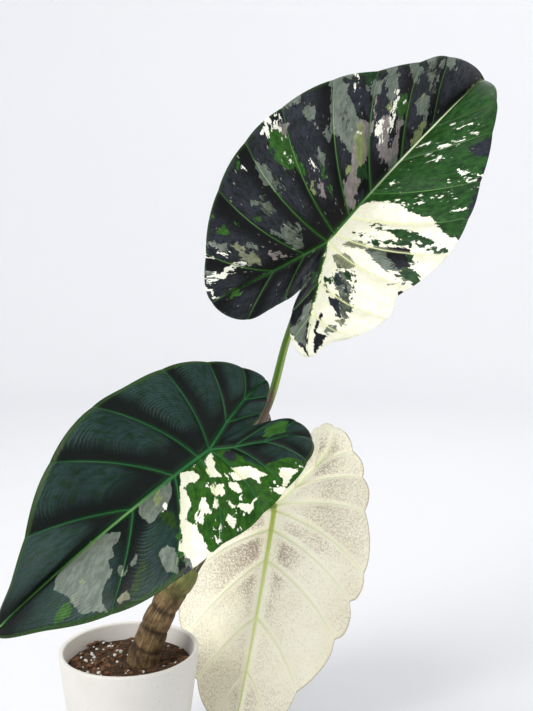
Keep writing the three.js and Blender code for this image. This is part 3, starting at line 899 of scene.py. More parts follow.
            ),
        ),
        "white": dict(
            flecks=(
                (44, 62, 4, 3), (48, 67, 4, 3), (52, 66, 3, 3), (49, 70, 4, 2), (41, 62, 3, 2),
                (34, 71, 4, 2), (40, 56, 4, 2), (33, 44, 4, 2), (25, 27, 3, 2), (-24, 57, 3, 2),
                (-27, 61, 3, 2), (-29, 64, 3, 2), (2, 67, 3, 3), (13, 55, 4, 2), (27, 61, 3, 3),
                (26, 65, 3, 2), (17, 53, 4, 2), (-7, 63, 3, 2), (-5, 66, 3, 2), (19, 5, 4, 2),
                (18, 8, 3, 2), (11, 34, 4, 2), (57, 20, 7, 4),
            ),
        ),
    },
    "leaf_pale": {
        "cream": dict(
            areas=(
                ((0, 0), (60, 0), (84, 22), (96, 60), (84, 108), (30, 112), (4, 90), (20, 52)),
                ((110, 0), (170, 0), (196, -30), (150, -76), (120, -60), (132, -28)),
                ((-20, 0), (-14, -20), (-46, -60), (-80, -60), (-92, -30), (-60, -8)),
            ),
            flecks=(
                (150, 40, 40, 12), (130, 60, 26, 9), (60, -60, 44, 12), (20, -50, 30, 9),
                (-40, 40, 30, 10),
            ),
        ),
        "slate": dict(
            areas=(
                ((-66, 46), (-62, 30), (-68, 6), (-84, 2), (-98, 18), (-96, 40), (-80, 54)),
            ),
        ),
        "grey": dict(
            flecks=(
                (120, 30, 44, 16), (170, 30, 30, 14), (40, -30, 34, 14), (90, -66, 36, 16),
                (-20, 60, 40, 14),
            ),
        ),
        "green": dict(
            flecks=(
                (100, 50, 30, 9), (60, 60, 22, 8), (140, -30, 26, 9), (10, 60, 24, 8), (-40, -40, 20, 8),
            ),
        ),
    },
}
DEPTH_RANGE = (-4, 6)


def inside_outline(points, outline):
    """Even-odd rule: whether a line from the point towards +x crosses the outline an odd number of times."""
    x, v = points[..., 0], points[..., 1]
    odd = np.zeros(points.shape[:-1], bool)
    for (x0, v0), (x1, v1) in zip(outline, np.roll(outline, -1, axis=0)):
        if v0 != v1:
            odd ^= ((v0 > v) != (v1 > v)) & (x < (x1 - x0) * (v - v0) / (v1 - v0) + x0)
    return odd


def area_depth(flat, outline):
    """Distance from the outline in mm, positive inside it."""
    outline = np.array(outline, float)
    distance, _ = line_distance(flat, np.vstack([outline, outline[:1]]))
    return np.where(inside_outline(flat, outline), distance, -distance)


def fleck_depth(flat, x, v, length, width, turn=0):
    """(1 - distance in an ellipse's own units) x half its width; the ellipse lies along the nearest rib."""
    offset = flat - (x, v)
    column = np.unravel_index(np.argmin((offset**2).sum(axis=-1)), offset.shape[:-1])[0]
    way = flat[column, -1] - flat[column, 0]
    angle = math.atan2(way[1], way[0]) + math.radians(turn)
    along = offset @ (math.cos(angle), math.sin(angle))
    across = offset @ (-math.sin(angle), math.cos(angle))
    return (1 - np.hypot(2 * along / length, 2 * across / width)) * width / 2


def streak_depth(flat, x0, v0, x1, v1, width):
    """Half the width less the distance from a straight line."""
    distance, _ = line_distance(flat, np.array([(x0, v0), (x1, v1)], float))
    return width / 2 - distance


def unevenly(flat, amount):
    """The places moved by crossing sine waves of about 8 and 14 mm, which gives flecks uneven outlines."""
    x, v = flat[..., 0], flat[..., 1]
    along = np.sin(0.78 * v + 1.3 * np.sin(0.31 * x)) + 0.7 * np.sin(0.47 * x - 0.39 * v + 1.0)
    across = np.sin(0.71 * x + 1.1 * np.sin(0.37 * v + 2.0)) + 0.7 * np.sin(0.52 * v + 0.33 * x)
    return flat + amount * np.stack([along, across], axis=-1)


def marking_depth(flat, areas=(), flecks=(), streaks=()):
    """How deep each grid point lies in a marking, in mm: the most of its areas, flecks and streaks."""
    outlined, loose = unevenly(flat, 0.35), unevenly(flat, 1.2)
    depths = [area_depth(outlined, outline) for outline in areas]
    depths += [fleck_depth(loose, *fleck) for fleck in flecks]
    depths += [streak_depth(loose, *streak) for streak in streaks]
    return np.clip(np.maximum.reduce(depths), *DEPTH_RANGE)


def leaf_fields(name, leaf, layout):
    """A blade's markings, fine vein lines, painted sheen and places as grids of numbers."""
    flat, outward = layout["flat"], layout["outward"][None]
    arch = layout["arch"][:, None]
    # Painted sheen across each panel: it falls to painted shade next to both ribs, most widely on the tip's
    # side, and by the midrib.
    towards_tip = np.where(layout["sector"] >= NOTCH, layout["place"], 1 - layout["place"])[:, None]
    rise = smoothstep(0, 0.25, towards_tip + 0.2 * outward)
    fall = smoothstep(1.05, 0.45, towards_tip)
    spine = np.array([(-2, 0), (leaf["midrib"][0] + 10, 0)], float)
    grids = {kind: marking_depth(flat, **marks) for kind, marks in MARKINGS[name].items()}
    grids["fine"] = leaf["fine_lines"] * (outward - 0.28 * arch * (1 - 0.5 * outward))
    grids["painted_sheen"] = rise * fall * smoothstep(0.02, 0.45, outward)
    grids["spine"] = line_distance(flat, spine)[0]
    grids["tipward"] = flat[..., 0] / leaf["midrib"][0]
    grids["outward"] = np.broadcast_to(outward, flat.shape[:-1])
    return grids


# Tubes: stem and petioles


def tube_piece(name, path, direction, radius, slot, material):
    """Rings round a path, with a radius for each step and turn, shut at both ends."""
    steps, sides = radius.shape
    across = unit(np.array([0.0, 1.0, 0.0]) - direction[:, 1:2] * direction)
    other = np.cross(direction, across)
    turn = turns(sides)[None, :, None]
    spokes = across[:, None] * np.cos(turn) + other[:, None] * np.sin(turn)
    points, faces = shut_rings(path[:, None] + spokes * radius[..., None], path[0], path[-1])
    around, along = np.linspace(0, 1, sides + 1), np.linspace(0, 1, steps)
    skin = grid_faces(np.stack(np.broadcast_arrays(around[None], along[:, None]), axis=-1))
    chart = np.concatenate([skin, np.zeros((len(faces) - len(skin), 4, 2))])
    return add_piece(name, points, faces[:, ::-1], slot, (material,), chart[:, ::-1])


def crown_frame():
    """Middle of the stem's top, its axis, and the right and back directions across it."""
    middle = np.array(STEM_PATH[-1], float)
    axis = unit(middle - np.array(STEM_PATH[-2], float))
    back = np.array([0.0, 1.0, 0.0])
    return middle, axis, unit(np.cross(back, axis)), back


def petiole_points(petiole):
    """The route: straight in the stem, along its own points, then to the hub under the blade."""
    middle, axis, right, back = crown_frame()
    turn = math.radians(petiole["around"])
    mouth = middle + SOCKET_CIRCLE * (right * math.cos(turn) + back * math.sin(turn))
    joint, _, normal, _ = blade_axes(LEAVES[petiole["leaf"]])
    seat = joint - normal * (BLADE_THICKNESS + PETIOLE_SEAT * HUB_RIB)
    return [mouth - axis * SOCKET_DEPTH, mouth, *petiole["route"], seat]


def make_petiole(name, petiole, material):
    """A stalk: radius x (1 - channel in front + flare at the top + sheath at the foot), with round ends.

    The radius falls from base to top as the height left to a power of 1.4.
    """
    steps, sides = 110, 28
    path, direction = smooth_path(petiole_points(petiole), steps - 1)
    share = np.linspace(0, 1, steps)[:, None]
    turn = turns(sides)
    radius = petiole["top"] + (petiole["base"] - petiole["top"]) * (1 - share) ** 1.4
    channel = PETIOLE_CHANNEL * np.exp(-(((turn - np.pi) / 0.45) ** 2)) * smoothstep(0, 0.2, share)
    flare = PETIOLE_FLARE * smoothstep(0.955, 1, share)
    sheath = PETIOLE_SHEATH * smoothstep(0.2, 0.05, share) * (0.5 + 0.5 * np.cos(turn - 2.2))
    ends = np.sqrt(np.clip(np.minimum(share, 1 - share) * 160, 0, 1))
    radius = radius * (1 - channel + flare + sheath) * (0.02 + 0.98 * ends)
    return tube_piece(name, path, direction, radius, "petiole", material)


def make_stem(material):
    """The stem: radius + wider crown + wider foot - ringed leaf scars + low lumps, with a domed top."""
    steps, sides = 150, 48
    path, direction = smooth_path(STEM_PATH, steps - 1)
    share = np.linspace(0, 1, steps)[:, None]
    turn = turns(sides)
    crown = (CROWN_RADIUS - STEM_RADIUS) * np.clip((share - 0.75) / 0.25, 0, None)
    foot = (STEM_FOOT_RADIUS - STEM_RADIUS) * np.clip(1 - share / 0.6, 0, None)
    wobble = 0.012 * np.sin(turn + 9 * share)
    scar = SCAR_DEPTH * np.abs(np.sin(np.pi * SCAR_COUNT * (share + wobble))) ** 14
    lumps = 0.35 * np.sin(3 * turn + 14 * share) + 0.22 * np.sin(7 * turn - 31 * share + 1)
    dome = np.sqrt(np.clip((1 - share) * 14, 0, 1))
    bottom = np.sqrt(np.clip(share * 40, 0, 1))
    radius = (STEM_RADIUS + crown + foot - scar + lumps) * (0.02 + 0.98 * dome * bottom)
    return tube_piece("stem", path, direction, radius, "stem", material)


# Pot and soil


def pot_radius(z):
    return POT_BASE_RADIUS + (POT_RIM_RADIUS - POT_BASE_RADIUS) * z / POT_HEIGHT


def rounded(corner_points, radii, steps=6):
    """A profile with rounded corners: a quadratic curve from a radius before each to a radius after it."""
    line = [np.array(corner_points[0], float)]
    for before, corner, after, radius in zip(corner_points, corner_points[1:], corner_points[2:], radii):
        before, corner, after = (np.array(p, float) for p in (before, corner, after))
        start = corner + unit(before - corner) * radius
        end = corner + unit(after - corner) * radius
        for share in np.linspace(0, 1, steps):
            line.append((1 - share) ** 2 * start + 2 * share * (1 - share) * corner + share**2 * end)
    line.append(np.array(corner_points[-1], float))
    return np.array(line)


def make_pot(material):
    """A tapered round pot: a rounded profile turned round the axis, with three holes cut in its floor."""
    corners = [
        (0.4, 0), (POT_BASE_RADIUS, 0), (POT_RIM_RADIUS, POT_HEIGHT),
        (POT_RIM_RADIUS - POT_WALL, POT_HEIGHT),
        (pot_radius(POT_FLOOR) - POT_WALL, POT_FLOOR), (0.4, POT_FLOOR),
    ]
    profile = rounded(corners, (2.2, 1.9, 1.9, 3.0))
    points, faces = shut_rings(spin(profile[:, 0], profile[:, 1:], 128), (0, 0, 0), (0, 0, POT_FLOOR))
    pot = add_piece("pot", points, faces[:, ::-1], "pot", (material,))
    for i in range(3):
        angle = 2 * math.pi * (i + 0.5) / 3
        bpy.ops.mesh.primitive_cylinder_add(
            vertices=40, radius=DRAIN_RADIUS * MM, depth=4 * POT_FLOOR * MM,
            location=(DRAIN_CIRCLE * MM * math.cos(angle), DRAIN_CIRCLE * MM * math.sin(angle), 0),
        )
        cutter = bpy.context.object
        cut = pot.modifiers.new("drain", "BOOLEAN")
        cut.operation = "DIFFERENCE"
        cut.solver = "EXACT"
        cut.object = cutter
        bpy.context.view_layer.update()
        made = bpy.data.meshes.new_from_object(pot.evaluated_get(bpy.context.evaluated_depsgraph_get()))
        pot.modifiers.clear()
        pot.data = made
        bpy.data.objects.remove(cutter)
    pot.data.set_sharp_from_angle(angle=math.radians(40))
    return pot


def soil_edge(z):
    """The soil's outer radius at a height, just inside the pot's wall."""
    return pot_radius(z) - POT_WALL - SOIL_CLEARANCE


def soil_height(x, y):
    """The soil's top: the fixed model's slow lumps with finer crumbs on them."""
    return (
        SOIL_TOP
        + SOIL_LUMP * np.sin(x / 7.3 + 0.6) * np.cos(y / 6.1)
        + 0.6 * SOIL_LUMP * np.sin(x / 3.7 - y / 4.3 + 1.1)
        + 0.5 * np.sin(x / 1.7 + 1.3 * np.sin(y / 2.3))
        + 0.4 * np.cos(y / 1.5 + 1.1 * np.sin(x / 1.9))
    )


def make_soil(material):
    """Soil: a crumbly round top, a wall just inside the pot's and a flat underside."""
    rings, sides = 60, 160
    rim_height = SOIL_TOP - SOIL_LUMP
    radius = soil_edge(rim_height) * (np.arange(rings + 1) / rings) ** 0.8
    radius[0] = 0.3
    top = spin(radius, 0.0, sides)
    near_wall = smoothstep(0.9, 1, radius / radius[-1])[:, None]
    top[..., 2] = soil_height(top[..., 0], top[..., 1]) * (1 - near_wall) + rim_height * near_wall
    bottom = POT_FLOOR + 0.4
    foot = spin(np.array([soil_edge(bottom) - 2]), bottom, sides)
    middle = (0, 0, top[0, :, 2].mean())
    points, faces = shut_rings(np.concatenate([top, foot]), middle, (0, 0, bottom))
    return add_piece("soil", points, faces, "soil", (material,))


def scatter(name, shape, count, sizes, seed, material, sink):
    """Many small lumps on the soil: each is a squashed, turned copy of one rough ball of 6 by 8 faces."""
    draw = np.random.default_rng(seed)
    cap = 0.12
    polar = np.linspace(cap, np.pi - cap, 7)
    ball, faces = shut_rings(spin(np.sin(polar), np.cos(polar)[:, None], 8), (0, 0, 1), (0, 0, -1))
    rough = 1 + shape["rough"] * draw.uniform(-1, 1, (count, len(ball), 1))
    scale = np.array(shape["squash"]) * draw.uniform(sizes[0], sizes[1], (count, 1, 1))
    lumps = ball[None] * rough * scale
    roll = draw.uniform(-0.5, 0.5, count)
    yaw = draw.uniform(0, 2 * np.pi, count)
    tilt = draw.uniform(-0.5, 0.5, count)
    for angle, (i, j) in ((tilt, (1, 2)), (roll, (0, 2)), (yaw, (0, 1))):
        cos, sin = np.cos(angle)[:, None], np.sin(angle)[:, None]
        first = lumps[..., i] * cos - lumps[..., j] * sin
        second = lumps[..., i] * sin + lumps[..., j] * cos
        lumps[..., i], lumps[..., j] = first, second
    out = (pot_radius(SOIL_TOP) - POT_WALL - 4) * np.sqrt(draw.uniform(0, 1, count))
    around = draw.uniform(0, 2 * np.pi, count)
    x, y = out * np.cos(around), out * np.sin(around)
    place = np.stack([x, y, soil_height(x, y) - sink], axis=-1)
    clear = np.hypot(x - STEM_PATH[1][0], y) > STEM_FOOT_RADIUS + 1
    points = (lumps + place[:, None])[clear]
    faces = (faces[None] + (np.arange(len(points)) * len(ball))[:, None, None]).reshape(-1, 4)
    return add_piece(name, points.reshape(-1, 3), faces, "soil", (material,), finer=False)


# Finishes


def paint(red, green, blue):
    """A colour as a screen shows it, from 0 to 255, turned into the linear colour that a shader takes."""
    shares = [channel / 255 for channel in (red, green, blue)]
    return tuple(c / 12.92 if c <= 0.04045 else ((c + 0.055) / 1.055) ** 2.4 for c in shares)


# Each marking's darker and lighter tone on the upper face and below, from the lowest marking to the topmost
UPPER_TONES = {
    "leafgreen": (paint(18, 52, 18), paint(46, 90, 38)),
    "fern": (paint(20, 62, 8), paint(50, 98, 18)),
    "cream": (paint(240, 239, 208), paint(250, 249, 234)),
    "grey": (paint(90, 101, 90), paint(122, 131, 119)),
    "mauve": (paint(118, 111, 110), paint(152, 144, 141)),
    "lime": (paint(112, 126, 78), paint(148, 158, 110)),
    "olive": (paint(98, 105, 80), paint(150, 153, 124)),
    "moss": (paint(20, 42, 8), paint(40, 68, 20)),
    "pepper": (paint(28, 42, 32), paint(112, 119, 104)),
    "slate": (paint(26, 29, 36), paint(46, 51, 60)),
    "pine": (paint(16, 44, 20), paint(40, 78, 38)),
    "green": (paint(28, 72, 14), paint(62, 108, 40)),
    "black": (paint(8, 9, 12), paint(24, 26, 32)),
    "white": (paint(243, 242, 222), paint(252, 252, 242)),
}
UNDER_TONES = {
    "leafgreen": (paint(86, 104, 74), paint(120, 138, 100)),
    "fern": (paint(86, 104, 74), paint(120, 138, 100)),
    "cream": (paint(216, 210, 182), paint(238, 234, 212)),
    "grey": (paint(128, 124, 116), paint(158, 154, 142)),
    "mauve": (paint(136, 122, 122), paint(164, 150, 148)),
    "lime": (paint(146, 150, 104), paint(176, 178, 134)),
    "olive": (paint(118, 116, 90), paint(150, 146, 116)),
    "moss": (paint(80, 84, 56), paint(104, 106, 76)),
    "pepper": (paint(84, 78, 70), paint(140, 138, 120)),
    "slate": (paint(84, 70, 74), paint(112, 98, 98)),
    "pine": (paint(74, 88, 62), paint(100, 116, 82)),
    "green": (paint(88, 108, 66), paint(118, 140, 92)),
    "black": (paint(70, 56, 62), paint(96, 82, 86)),
    "white": (paint(220, 215, 190), paint(240, 236, 216)),
}
# Ground of each upper face: deep is painted shade by the ribs and also the soot mottle's colour, sheen and
# tinge are painted sheen in two hues, line colours the fine lines where the painted sheen lights them, and
# shade lowers the painted sheen.
GROUNDS = {
    "leaf_upper": dict(
        deep=paint(7, 8, 11), sheen=paint(48, 52, 61), tinge=paint(34, 40, 36), line=paint(70, 75, 83),
        soot=0.72, rim=0.982, ragged=1.8, specks=0.6, shade=0.1, threads=0.2,
    ),
    "leaf_left": dict(
        deep=paint(6, 17, 14), sheen=paint(36, 61, 57), tinge=paint(20, 48, 27), line=paint(72, 98, 90),
        soot=0.3, rim=0.955, ragged=1.1, specks=0.0, shade=0.14, threads=0.4,
    ),
    "leaf_pale": dict(
        deep=paint(8, 24, 16), sheen=paint(44, 72, 54), tinge=paint(34, 60, 30), line=paint(76, 104, 84),
        soot=0.3, rim=0.97, ragged=1.8, specks=0.4, shade=0.1, threads=0.4,
    ),
}
VEIN_TONES = {
    "leaf_upper": dict(root=paint(52, 102, 40), end=paint(106, 150, 84), spine=paint(226, 233, 198)),
    "leaf_left": dict(root=paint(42, 102, 52), end=paint(48, 108, 62), spine=paint(118, 162, 96)),
    "leaf_pale": dict(root=paint(82, 138, 72), end=paint(100, 150, 88), spine=paint(160, 188, 120)),
}
# Markings that break up more than the rest: how many times as ragged, and how many mm are lost all round
SCATTERED = {"white": (2.1, 0.7), "pepper": (3.6, 2.0)}


def patchwork(finish, name, tones, ground, ragged):
    """Paints a leaf's markings over its ground. Their edges break into cells drawn out along the ribs."""
    coarse = finish.cells(finish.chart(11, 5))
    fine = finish.cells(finish.chart(26, 13))
    cloud = finish.noise(finish.chart(3, 2), 2.0, 4.0, 0.6)
    colour = ground
    covers = {}
    for i, (kind, (dark, light)) in enumerate(tones.items()):
        if kind in MARKINGS[name]:
            spread, bias = SCATTERED.get(kind, (1.0, 0.0))
            rough = spread * ragged
            broken = rough * (coarse[i % 3] - 0.42) + 0.6 * rough * (fine[(i + 1) % 3] - 0.5) - bias
            cover = finish.step(finish.field(kind) + broken, -0.2, 0.2)
            covers[kind] = cover
            share = finish.step(0.8 * cloud + 0.12 * coarse[(i + 1) % 3] + 0.08 * fine[i % 3], 0.3, 0.7)
            colour = finish.mix(cover, colour, finish.mix(share, dark, light))
    return colour, covers, fine, cloud


def upper_leaf_finish(name):
    """Dark ground with painted slate sheen and painted shade, fine arching lines, the markings, then paler
    ribs.
    """
    finish = Finish(name + "_above")
    ground, veins = GROUNDS[name], VEIN_TONES[name]
    outward, vein, tipward = (finish.field(kind) for kind in ("outward", "vein", "tipward"))
    mottle = finish.noise(finish.chart(2, 1.2), 3.0, 5.0, 0.6)
    waver = finish.noise(finish.place(), 55.0, 3.0)
    phase = finish.field("fine") + 2.2 * waver
    thread = (0.5 + 0.5 * finish.maths("COSINE", 2 * math.pi * phase)) ** 3
    arcs = finish.node("ShaderNodeCombineXYZ", None, {0: 0.55 * phase, 1: 4.0 * tipward, 2: 2.0 * outward})
    brush = finish.noise(arcs, 1.0, 4.0, 0.65)
    drift = finish.noise(finish.place(), 17.0, 3.0, 0.6)
    # Painted sheen, broken by arcs along the fine lines and by slow clouds; where it is low the ground turns
    # to painted shade (deep).
    painted_sheen = finish.field("painted_sheen") * (0.05 + brush + 0.75 * drift)
    painted_sheen = painted_sheen + 0.4 * (mottle - 0.5) - ground["shade"]
    sheen = finish.mix(finish.step(mottle, 0.45, 0.62), ground["sheen"], ground["tinge"])
    tone = finish.mix(finish.step(painted_sheen, 0.14, 1.0), ground["deep"], sheen)
    # The fine lines are drawn lighter only where the painted sheen is, as painted highlights on them.
    strength = finish.step(drift, 0.4, 0.62) * finish.step(painted_sheen, 0.1, 0.5)
    tone = finish.mix(ground["threads"] * thread * strength, tone, ground["line"])
    soot = finish.step(finish.noise(finish.chart(9, 4.5), 1.0, 6.0, 0.75, 0.6), 0.47, 0.6)
    tone = finish.mix(ground["soot"] * soot, tone, ground["deep"])
    olive_rim = finish.step(outward + 0.02 * mottle, ground["rim"], ground["rim"] + 0.03)
    tone = finish.mix(0.7 * olive_rim, tone, paint(46, 74, 22))
    colour, covers, fine, cloud = patchwork(finish, name, UPPER_TONES, tone, ground["ragged"])
    speck = finish.step(fine[2], 0.965, 0.969) * finish.step(mottle, 0.52, 0.6)
    colour = finish.mix(ground["specks"] * speck, colour, paint(176, 178, 168))
    # Painted shade over the markings: darker where the painted sheen is low and along the fine lines where
    # they show.
    sheen_share = finish.step(painted_sheen, 0.0, 0.7)
    shadow = 0.3 * (1 - sheen_share) + 0.25 * thread * strength
    colour = finish.mix(shadow, colour, paint(150, 150, 140), "MULTIPLY")
    on_cream = covers["cream"]
    halo = finish.step(vein, 4.5, 1.0) * 0.22
    halo_tone = finish.mix(on_cream, veins["root"], paint(234, 236, 190))
    colour = finish.mix(halo, colour, halo_tone)
    line = finish.step(vein, 1.2, 0.6) * (1 - 0.75 * finish.step(outward, 0.7, 0.97))
    line_tone = finish.mix(finish.step(outward, 0.05, 0.7), veins["root"], veins["end"])
    line_tone = finish.mix(0.8 * covers["grey"], line_tone, paint(172, 194, 146))
    line_tone = finish.mix(on_cream, line_tone, paint(226, 231, 176))
    colour = finish.mix(0.9 * line, colour, line_tone)
    spine = finish.field("spine")
    spine_core = finish.step(spine + 0.5 * tipward, 1.5, 0.8) * finish.step(tipward, -0.02, 0.04)
    spine_tone = finish.mix(finish.step(tipward, 0.15, 0.6), veins["root"], veins["spine"])
    colour = finish.mix(spine_core, colour, spine_tone)
    ripple = 0.55 * thread * (0.3 + strength) + 0.45 * finish.noise(finish.chart(20, 13), 1.0, 3.0)
    relief = finish.bump(ripple, 0.0006, 0.6)
    rough = 0.33 + 0.14 * cloud + 0.06 * thread
    return finish.end(colour, rough, 0.16, relief)


def under_leaf_finish(name):
    """The duller face below: the same markings seen through, purplish where dark, with broad pale ribs."""
    finish = Finish(name + "_below")
    vein = finish.field("vein")
    mottle = finish.noise(finish.chart(2, 1.2), 3.0, 5.0, 0.6)
    ground = finish.mix(finish.step(mottle, 0.3, 0.7), paint(72, 62, 62), paint(98, 100, 84))
    colour, _, _, cloud = patchwork(finish, name, UNDER_TONES, ground, 2.0)
    grain = finish.noise(finish.place(), 900.0, 2.0)
    colour = finish.mix(0.25 * finish.step(grain, 0.55, 0.75), colour, paint(96, 84, 80))
    colour = finish.mix(0.5 * finish.step(vein, 3.4, 0.9), colour, paint(128, 136, 92))
    colour = finish.mix(0.9 * finish.step(vein, 1.5, 0.7), colour, paint(158, 172, 108))
    relief = finish.bump(finish.noise(finish.chart(24, 24), 1.0, 3.0), 0.0003, 0.5)
    return finish.end(colour, 0.55 + 0.1 * cloud, 0.22, relief)


def pale_under_finish(name):
    """Cream underside: brown-mauve grain, denser by the midrib, broad yellow-green ribs and a brown edge."""
    finish = Finish(name + "_below")
    outward, vein, tipward = (finish.field(kind) for kind in ("outward", "vein", "tipward"))
    place = finish.place()
    cloud = finish.noise(place, 22.0, 4.0, 0.6)
    clear = finish.noise(place, 9.0, 2.0)
    colour = finish.mix(finish.step(cloud, 0.3, 0.7), paint(248, 243, 216), paint(255, 252, 230))
    near = finish.step(outward, 0.85, 0.1)
    between = finish.step(vein, 2.0, 7.0)
    dense = (0.5 + 0.5 * near) * (0.42 + 0.58 * finish.step(clear, 0.36, 0.56)) * (0.42 + 0.58 * between)
    grain = finish.noise(place, 520.0, 4.0, 0.75)
    fine_grain = finish.noise(place, 1200.0, 2.0, 0.6)
    drawn = finish.noise(finish.chart(30, 12), 1.0, 4.0, 0.7)
    dirt = finish.step(0.4 * grain + 0.3 * fine_grain + 0.3 * drawn + 0.1 * dense, 0.54, 0.59)
    colour = finish.mix(0.3 * dense * cloud, colour, paint(206, 184, 156))
    colour = finish.mix(0.8 * dirt * dense, colour, paint(126, 100, 84))
    smudge = finish.step(finish.noise(place, 110.0, 4.0, 0.65), 0.58, 0.72)
    colour = finish.mix(0.22 * smudge * dense, colour, paint(160, 138, 124))
    glow = finish.step(vein, 3.0, 0.8)
    colour = finish.mix(0.35 * glow, colour, paint(236, 239, 204))
    line = finish.step(vein, 1.1, 0.35)
    line_tone = finish.mix(finish.step(outward, 0.3, 0.02), paint(230, 235, 194), paint(208, 219, 146))
    colour = finish.mix(0.6 * line, colour, line_tone)
    spine = finish.field("spine")
    core = finish.step(spine + 1.7 * tipward, 2.5, 1.3) * finish.step(tipward, -0.03, 0.02)
    spine_tone = finish.mix(finish.step(tipward, 0.0, 0.45), paint(176, 192, 86), paint(212, 222, 146))
    colour = finish.mix(core, colour, spine_tone)
    lobe = finish.step(finish.field("slate") + 4.0 * (cloud - 0.5), -0.6, 0.6)
    streaked = finish.step(finish.noise(finish.chart(14, 3), 1.0, 4.0, 0.7), 0.57, 0.6)
    dusk = finish.mix(cloud, paint(52, 34, 34), paint(104, 78, 76))
    dusk = finish.mix(streaked, dusk, paint(206, 202, 168))
    colour = finish.mix(lobe, colour, dusk)
    edge = finish.step(outward, 0.982, 0.998)
    colour = finish.mix(0.5 * edge, colour, paint(150, 124, 92))
    relief = finish.bump(0.6 * grain + 0.4 * cloud, 0.0003, 0.5)
    return finish.end(colour, 0.55 + 0.12 * cloud, 0.25, relief)


def petiole_finish():
    """Green skin with one pale side, streaked along its length; its lower half is in a dark brown sheath."""
    finish = Finish("petiole_skin")
    around, along, _ = finish.channels(finish.chart(1, 1))
    streak = finish.noise(finish.chart(16, 2.2), 1.0, 4.0, 0.6)
    patch = finish.noise(finish.place(), 60.0, 3.0)
    colour = finish.mix(finish.step(streak, 0.34, 0.66), paint(48, 84, 4), paint(84, 116, 22))
    pale_side = finish.step(abs(around - 0.67) + 0.05 * (patch - 0.5), 0.12, 0.1)
    pale = finish.mix(streak, paint(136, 154, 70), paint(164, 178, 106))
    colour = finish.mix(0.9 * pale_side, colour, pale)
    colour = finish.mix(0.5 * finish.step(patch, 0.55, 0.72), colour, paint(54, 66, 18))
    colour = finish.mix(0.5 * finish.step(along, 0.9, 1.0), colour, paint(158, 176, 88))
    husk = finish.mix(finish.step(streak, 0.36, 0.6), paint(44, 30, 28), paint(92, 70, 62))
    husk = finish.mix(finish.step(streak + 0.3 * patch, 0.75, 0.8), husk, paint(176, 172, 132))
    sheath = finish.step(along + 0.05 * patch + 0.2 * abs(around - 0.45), 0.62, 0.57)
    colour = finish.mix(0.92 * sheath, colour, husk)
    fleck = finish.step(finish.noise(finish.chart(40, 34), 1.0, 2.0), 0.66, 0.72)
    colour = finish.mix(0.45 * fleck, colour, paint(72, 58, 34))
    relief = finish.bump(streak, 0.0004, 0.5)
    return finish.end(colour, 0.36 + 0.14 * patch, 0.35, relief)


def stem_finish():
    """Brown bark with darker leaf scars round it, papery tan fibres along it and some green at the crown."""
    finish = Finish("stem_bark")
    _, along, _ = finish.channels(finish.chart(1, 1))
    fibre = finish.noise(finish.chart(34, 7), 1.0, 5.0, 0.65)
    lump = finish.noise(finish.place(), 85.0, 5.0, 0.65)
    colour = finish.mix(finish.step(lump, 0.32, 0.7), paint(62, 46, 28), paint(128, 104, 70))
    colour = finish.mix(0.6 * finish.step(fibre, 0.52, 0.68), colour, paint(172, 150, 108))
    colour = finish.mix(0.55 * finish.step(fibre, 0.46, 0.34), colour, paint(34, 24, 16))
    ring = abs(finish.maths("SINE", math.pi * SCAR_COUNT * along)) ** 10
    colour = finish.mix(0.7 * ring, colour, paint(40, 29, 19))
    crown = finish.step(along + 0.25 * lump, 0.82, 1.08)
    young = finish.mix(fibre, paint(84, 98, 40), paint(140, 150, 86))
    colour = finish.mix(0.75 * crown, colour, young)
    relief = finish.bump(0.5 * fibre + 0.5 * lump, 0.0016, 0.8)
    return finish.end(colour, 0.72 + 0.2 * lump, 0.3, relief)


def pot_finish():
    """Satin off-white glaze: slow clouds of tone, fine iron specks and a thin dusty foot."""
    finish = Finish("pot_glaze")
    place = finish.place()
    _, _, height = finish.channels(place)
    cloud = finish.noise(place, 24.0, 4.0, 0.6)
    peel = finish.noise(place, 420.0, 2.0)
    colour = finish.mix(cloud, paint(212, 208, 199), paint(229, 226, 219))
    specks = finish.step(finish.noise(place, 640.0, 1.0), 0.72, 0.76)
    colour = finish.mix(0.55 * specks, colour, paint(132, 116, 96))
    foot = finish.step(height + 0.004 * cloud, 0.009, 0.003)
    colour = finish.mix(0.35 * foot, colour, paint(160, 148, 130))
    relief = finish.bump(0.4 * cloud + 0.6 * peel, 0.00025, 0.5)
    return finish.end(colour, 0.34 + 0.2 * cloud, 0.5, relief)


def crumb_finish(name, dark, light, scale, rough, grain=(1.0, 1.0, 1.0)):
    """Broken matter in two tones, with pits darkened by painted shade; grain stretches its noise along one
    way, as in wood.
    """
    finish = Finish(name)
    stretch = finish.node("ShaderNodeVectorMath", {"operation": "MULTIPLY"}, {0: finish.place(), 1: grain})
    lump = finish.noise(stretch, scale, 6.0, 0.7)
    pit = finish.noise(finish.place(), 4 * scale, 3.0, 0.6)
    colour = finish.mix(finish.step(0.65 * lump + 0.35 * pit, 0.34, 0.66), dark, light)
    # Painted shade: the pits, which the bump sinks, are darkened towards black.
    colour = finish.mix(0.6 * finish.step(pit, 0.44, 0.3), colour, tuple(0.35 * c for c in dark))
    relief = finish.bump(0.6 * lump + 0.4 * pit, 0.0009, 0.9)
    return finish.end(colour, rough + 0.1 * lump, 0.3, relief)


for leaf_name, leaf in LEAVES.items():
    under_finish = pale_under_finish(leaf_name) if leaf_name == "leaf_pale" else under_leaf_finish(leaf_name)
    make_blade(leaf_name, leaf, upper_leaf_finish(leaf_name), under_finish)

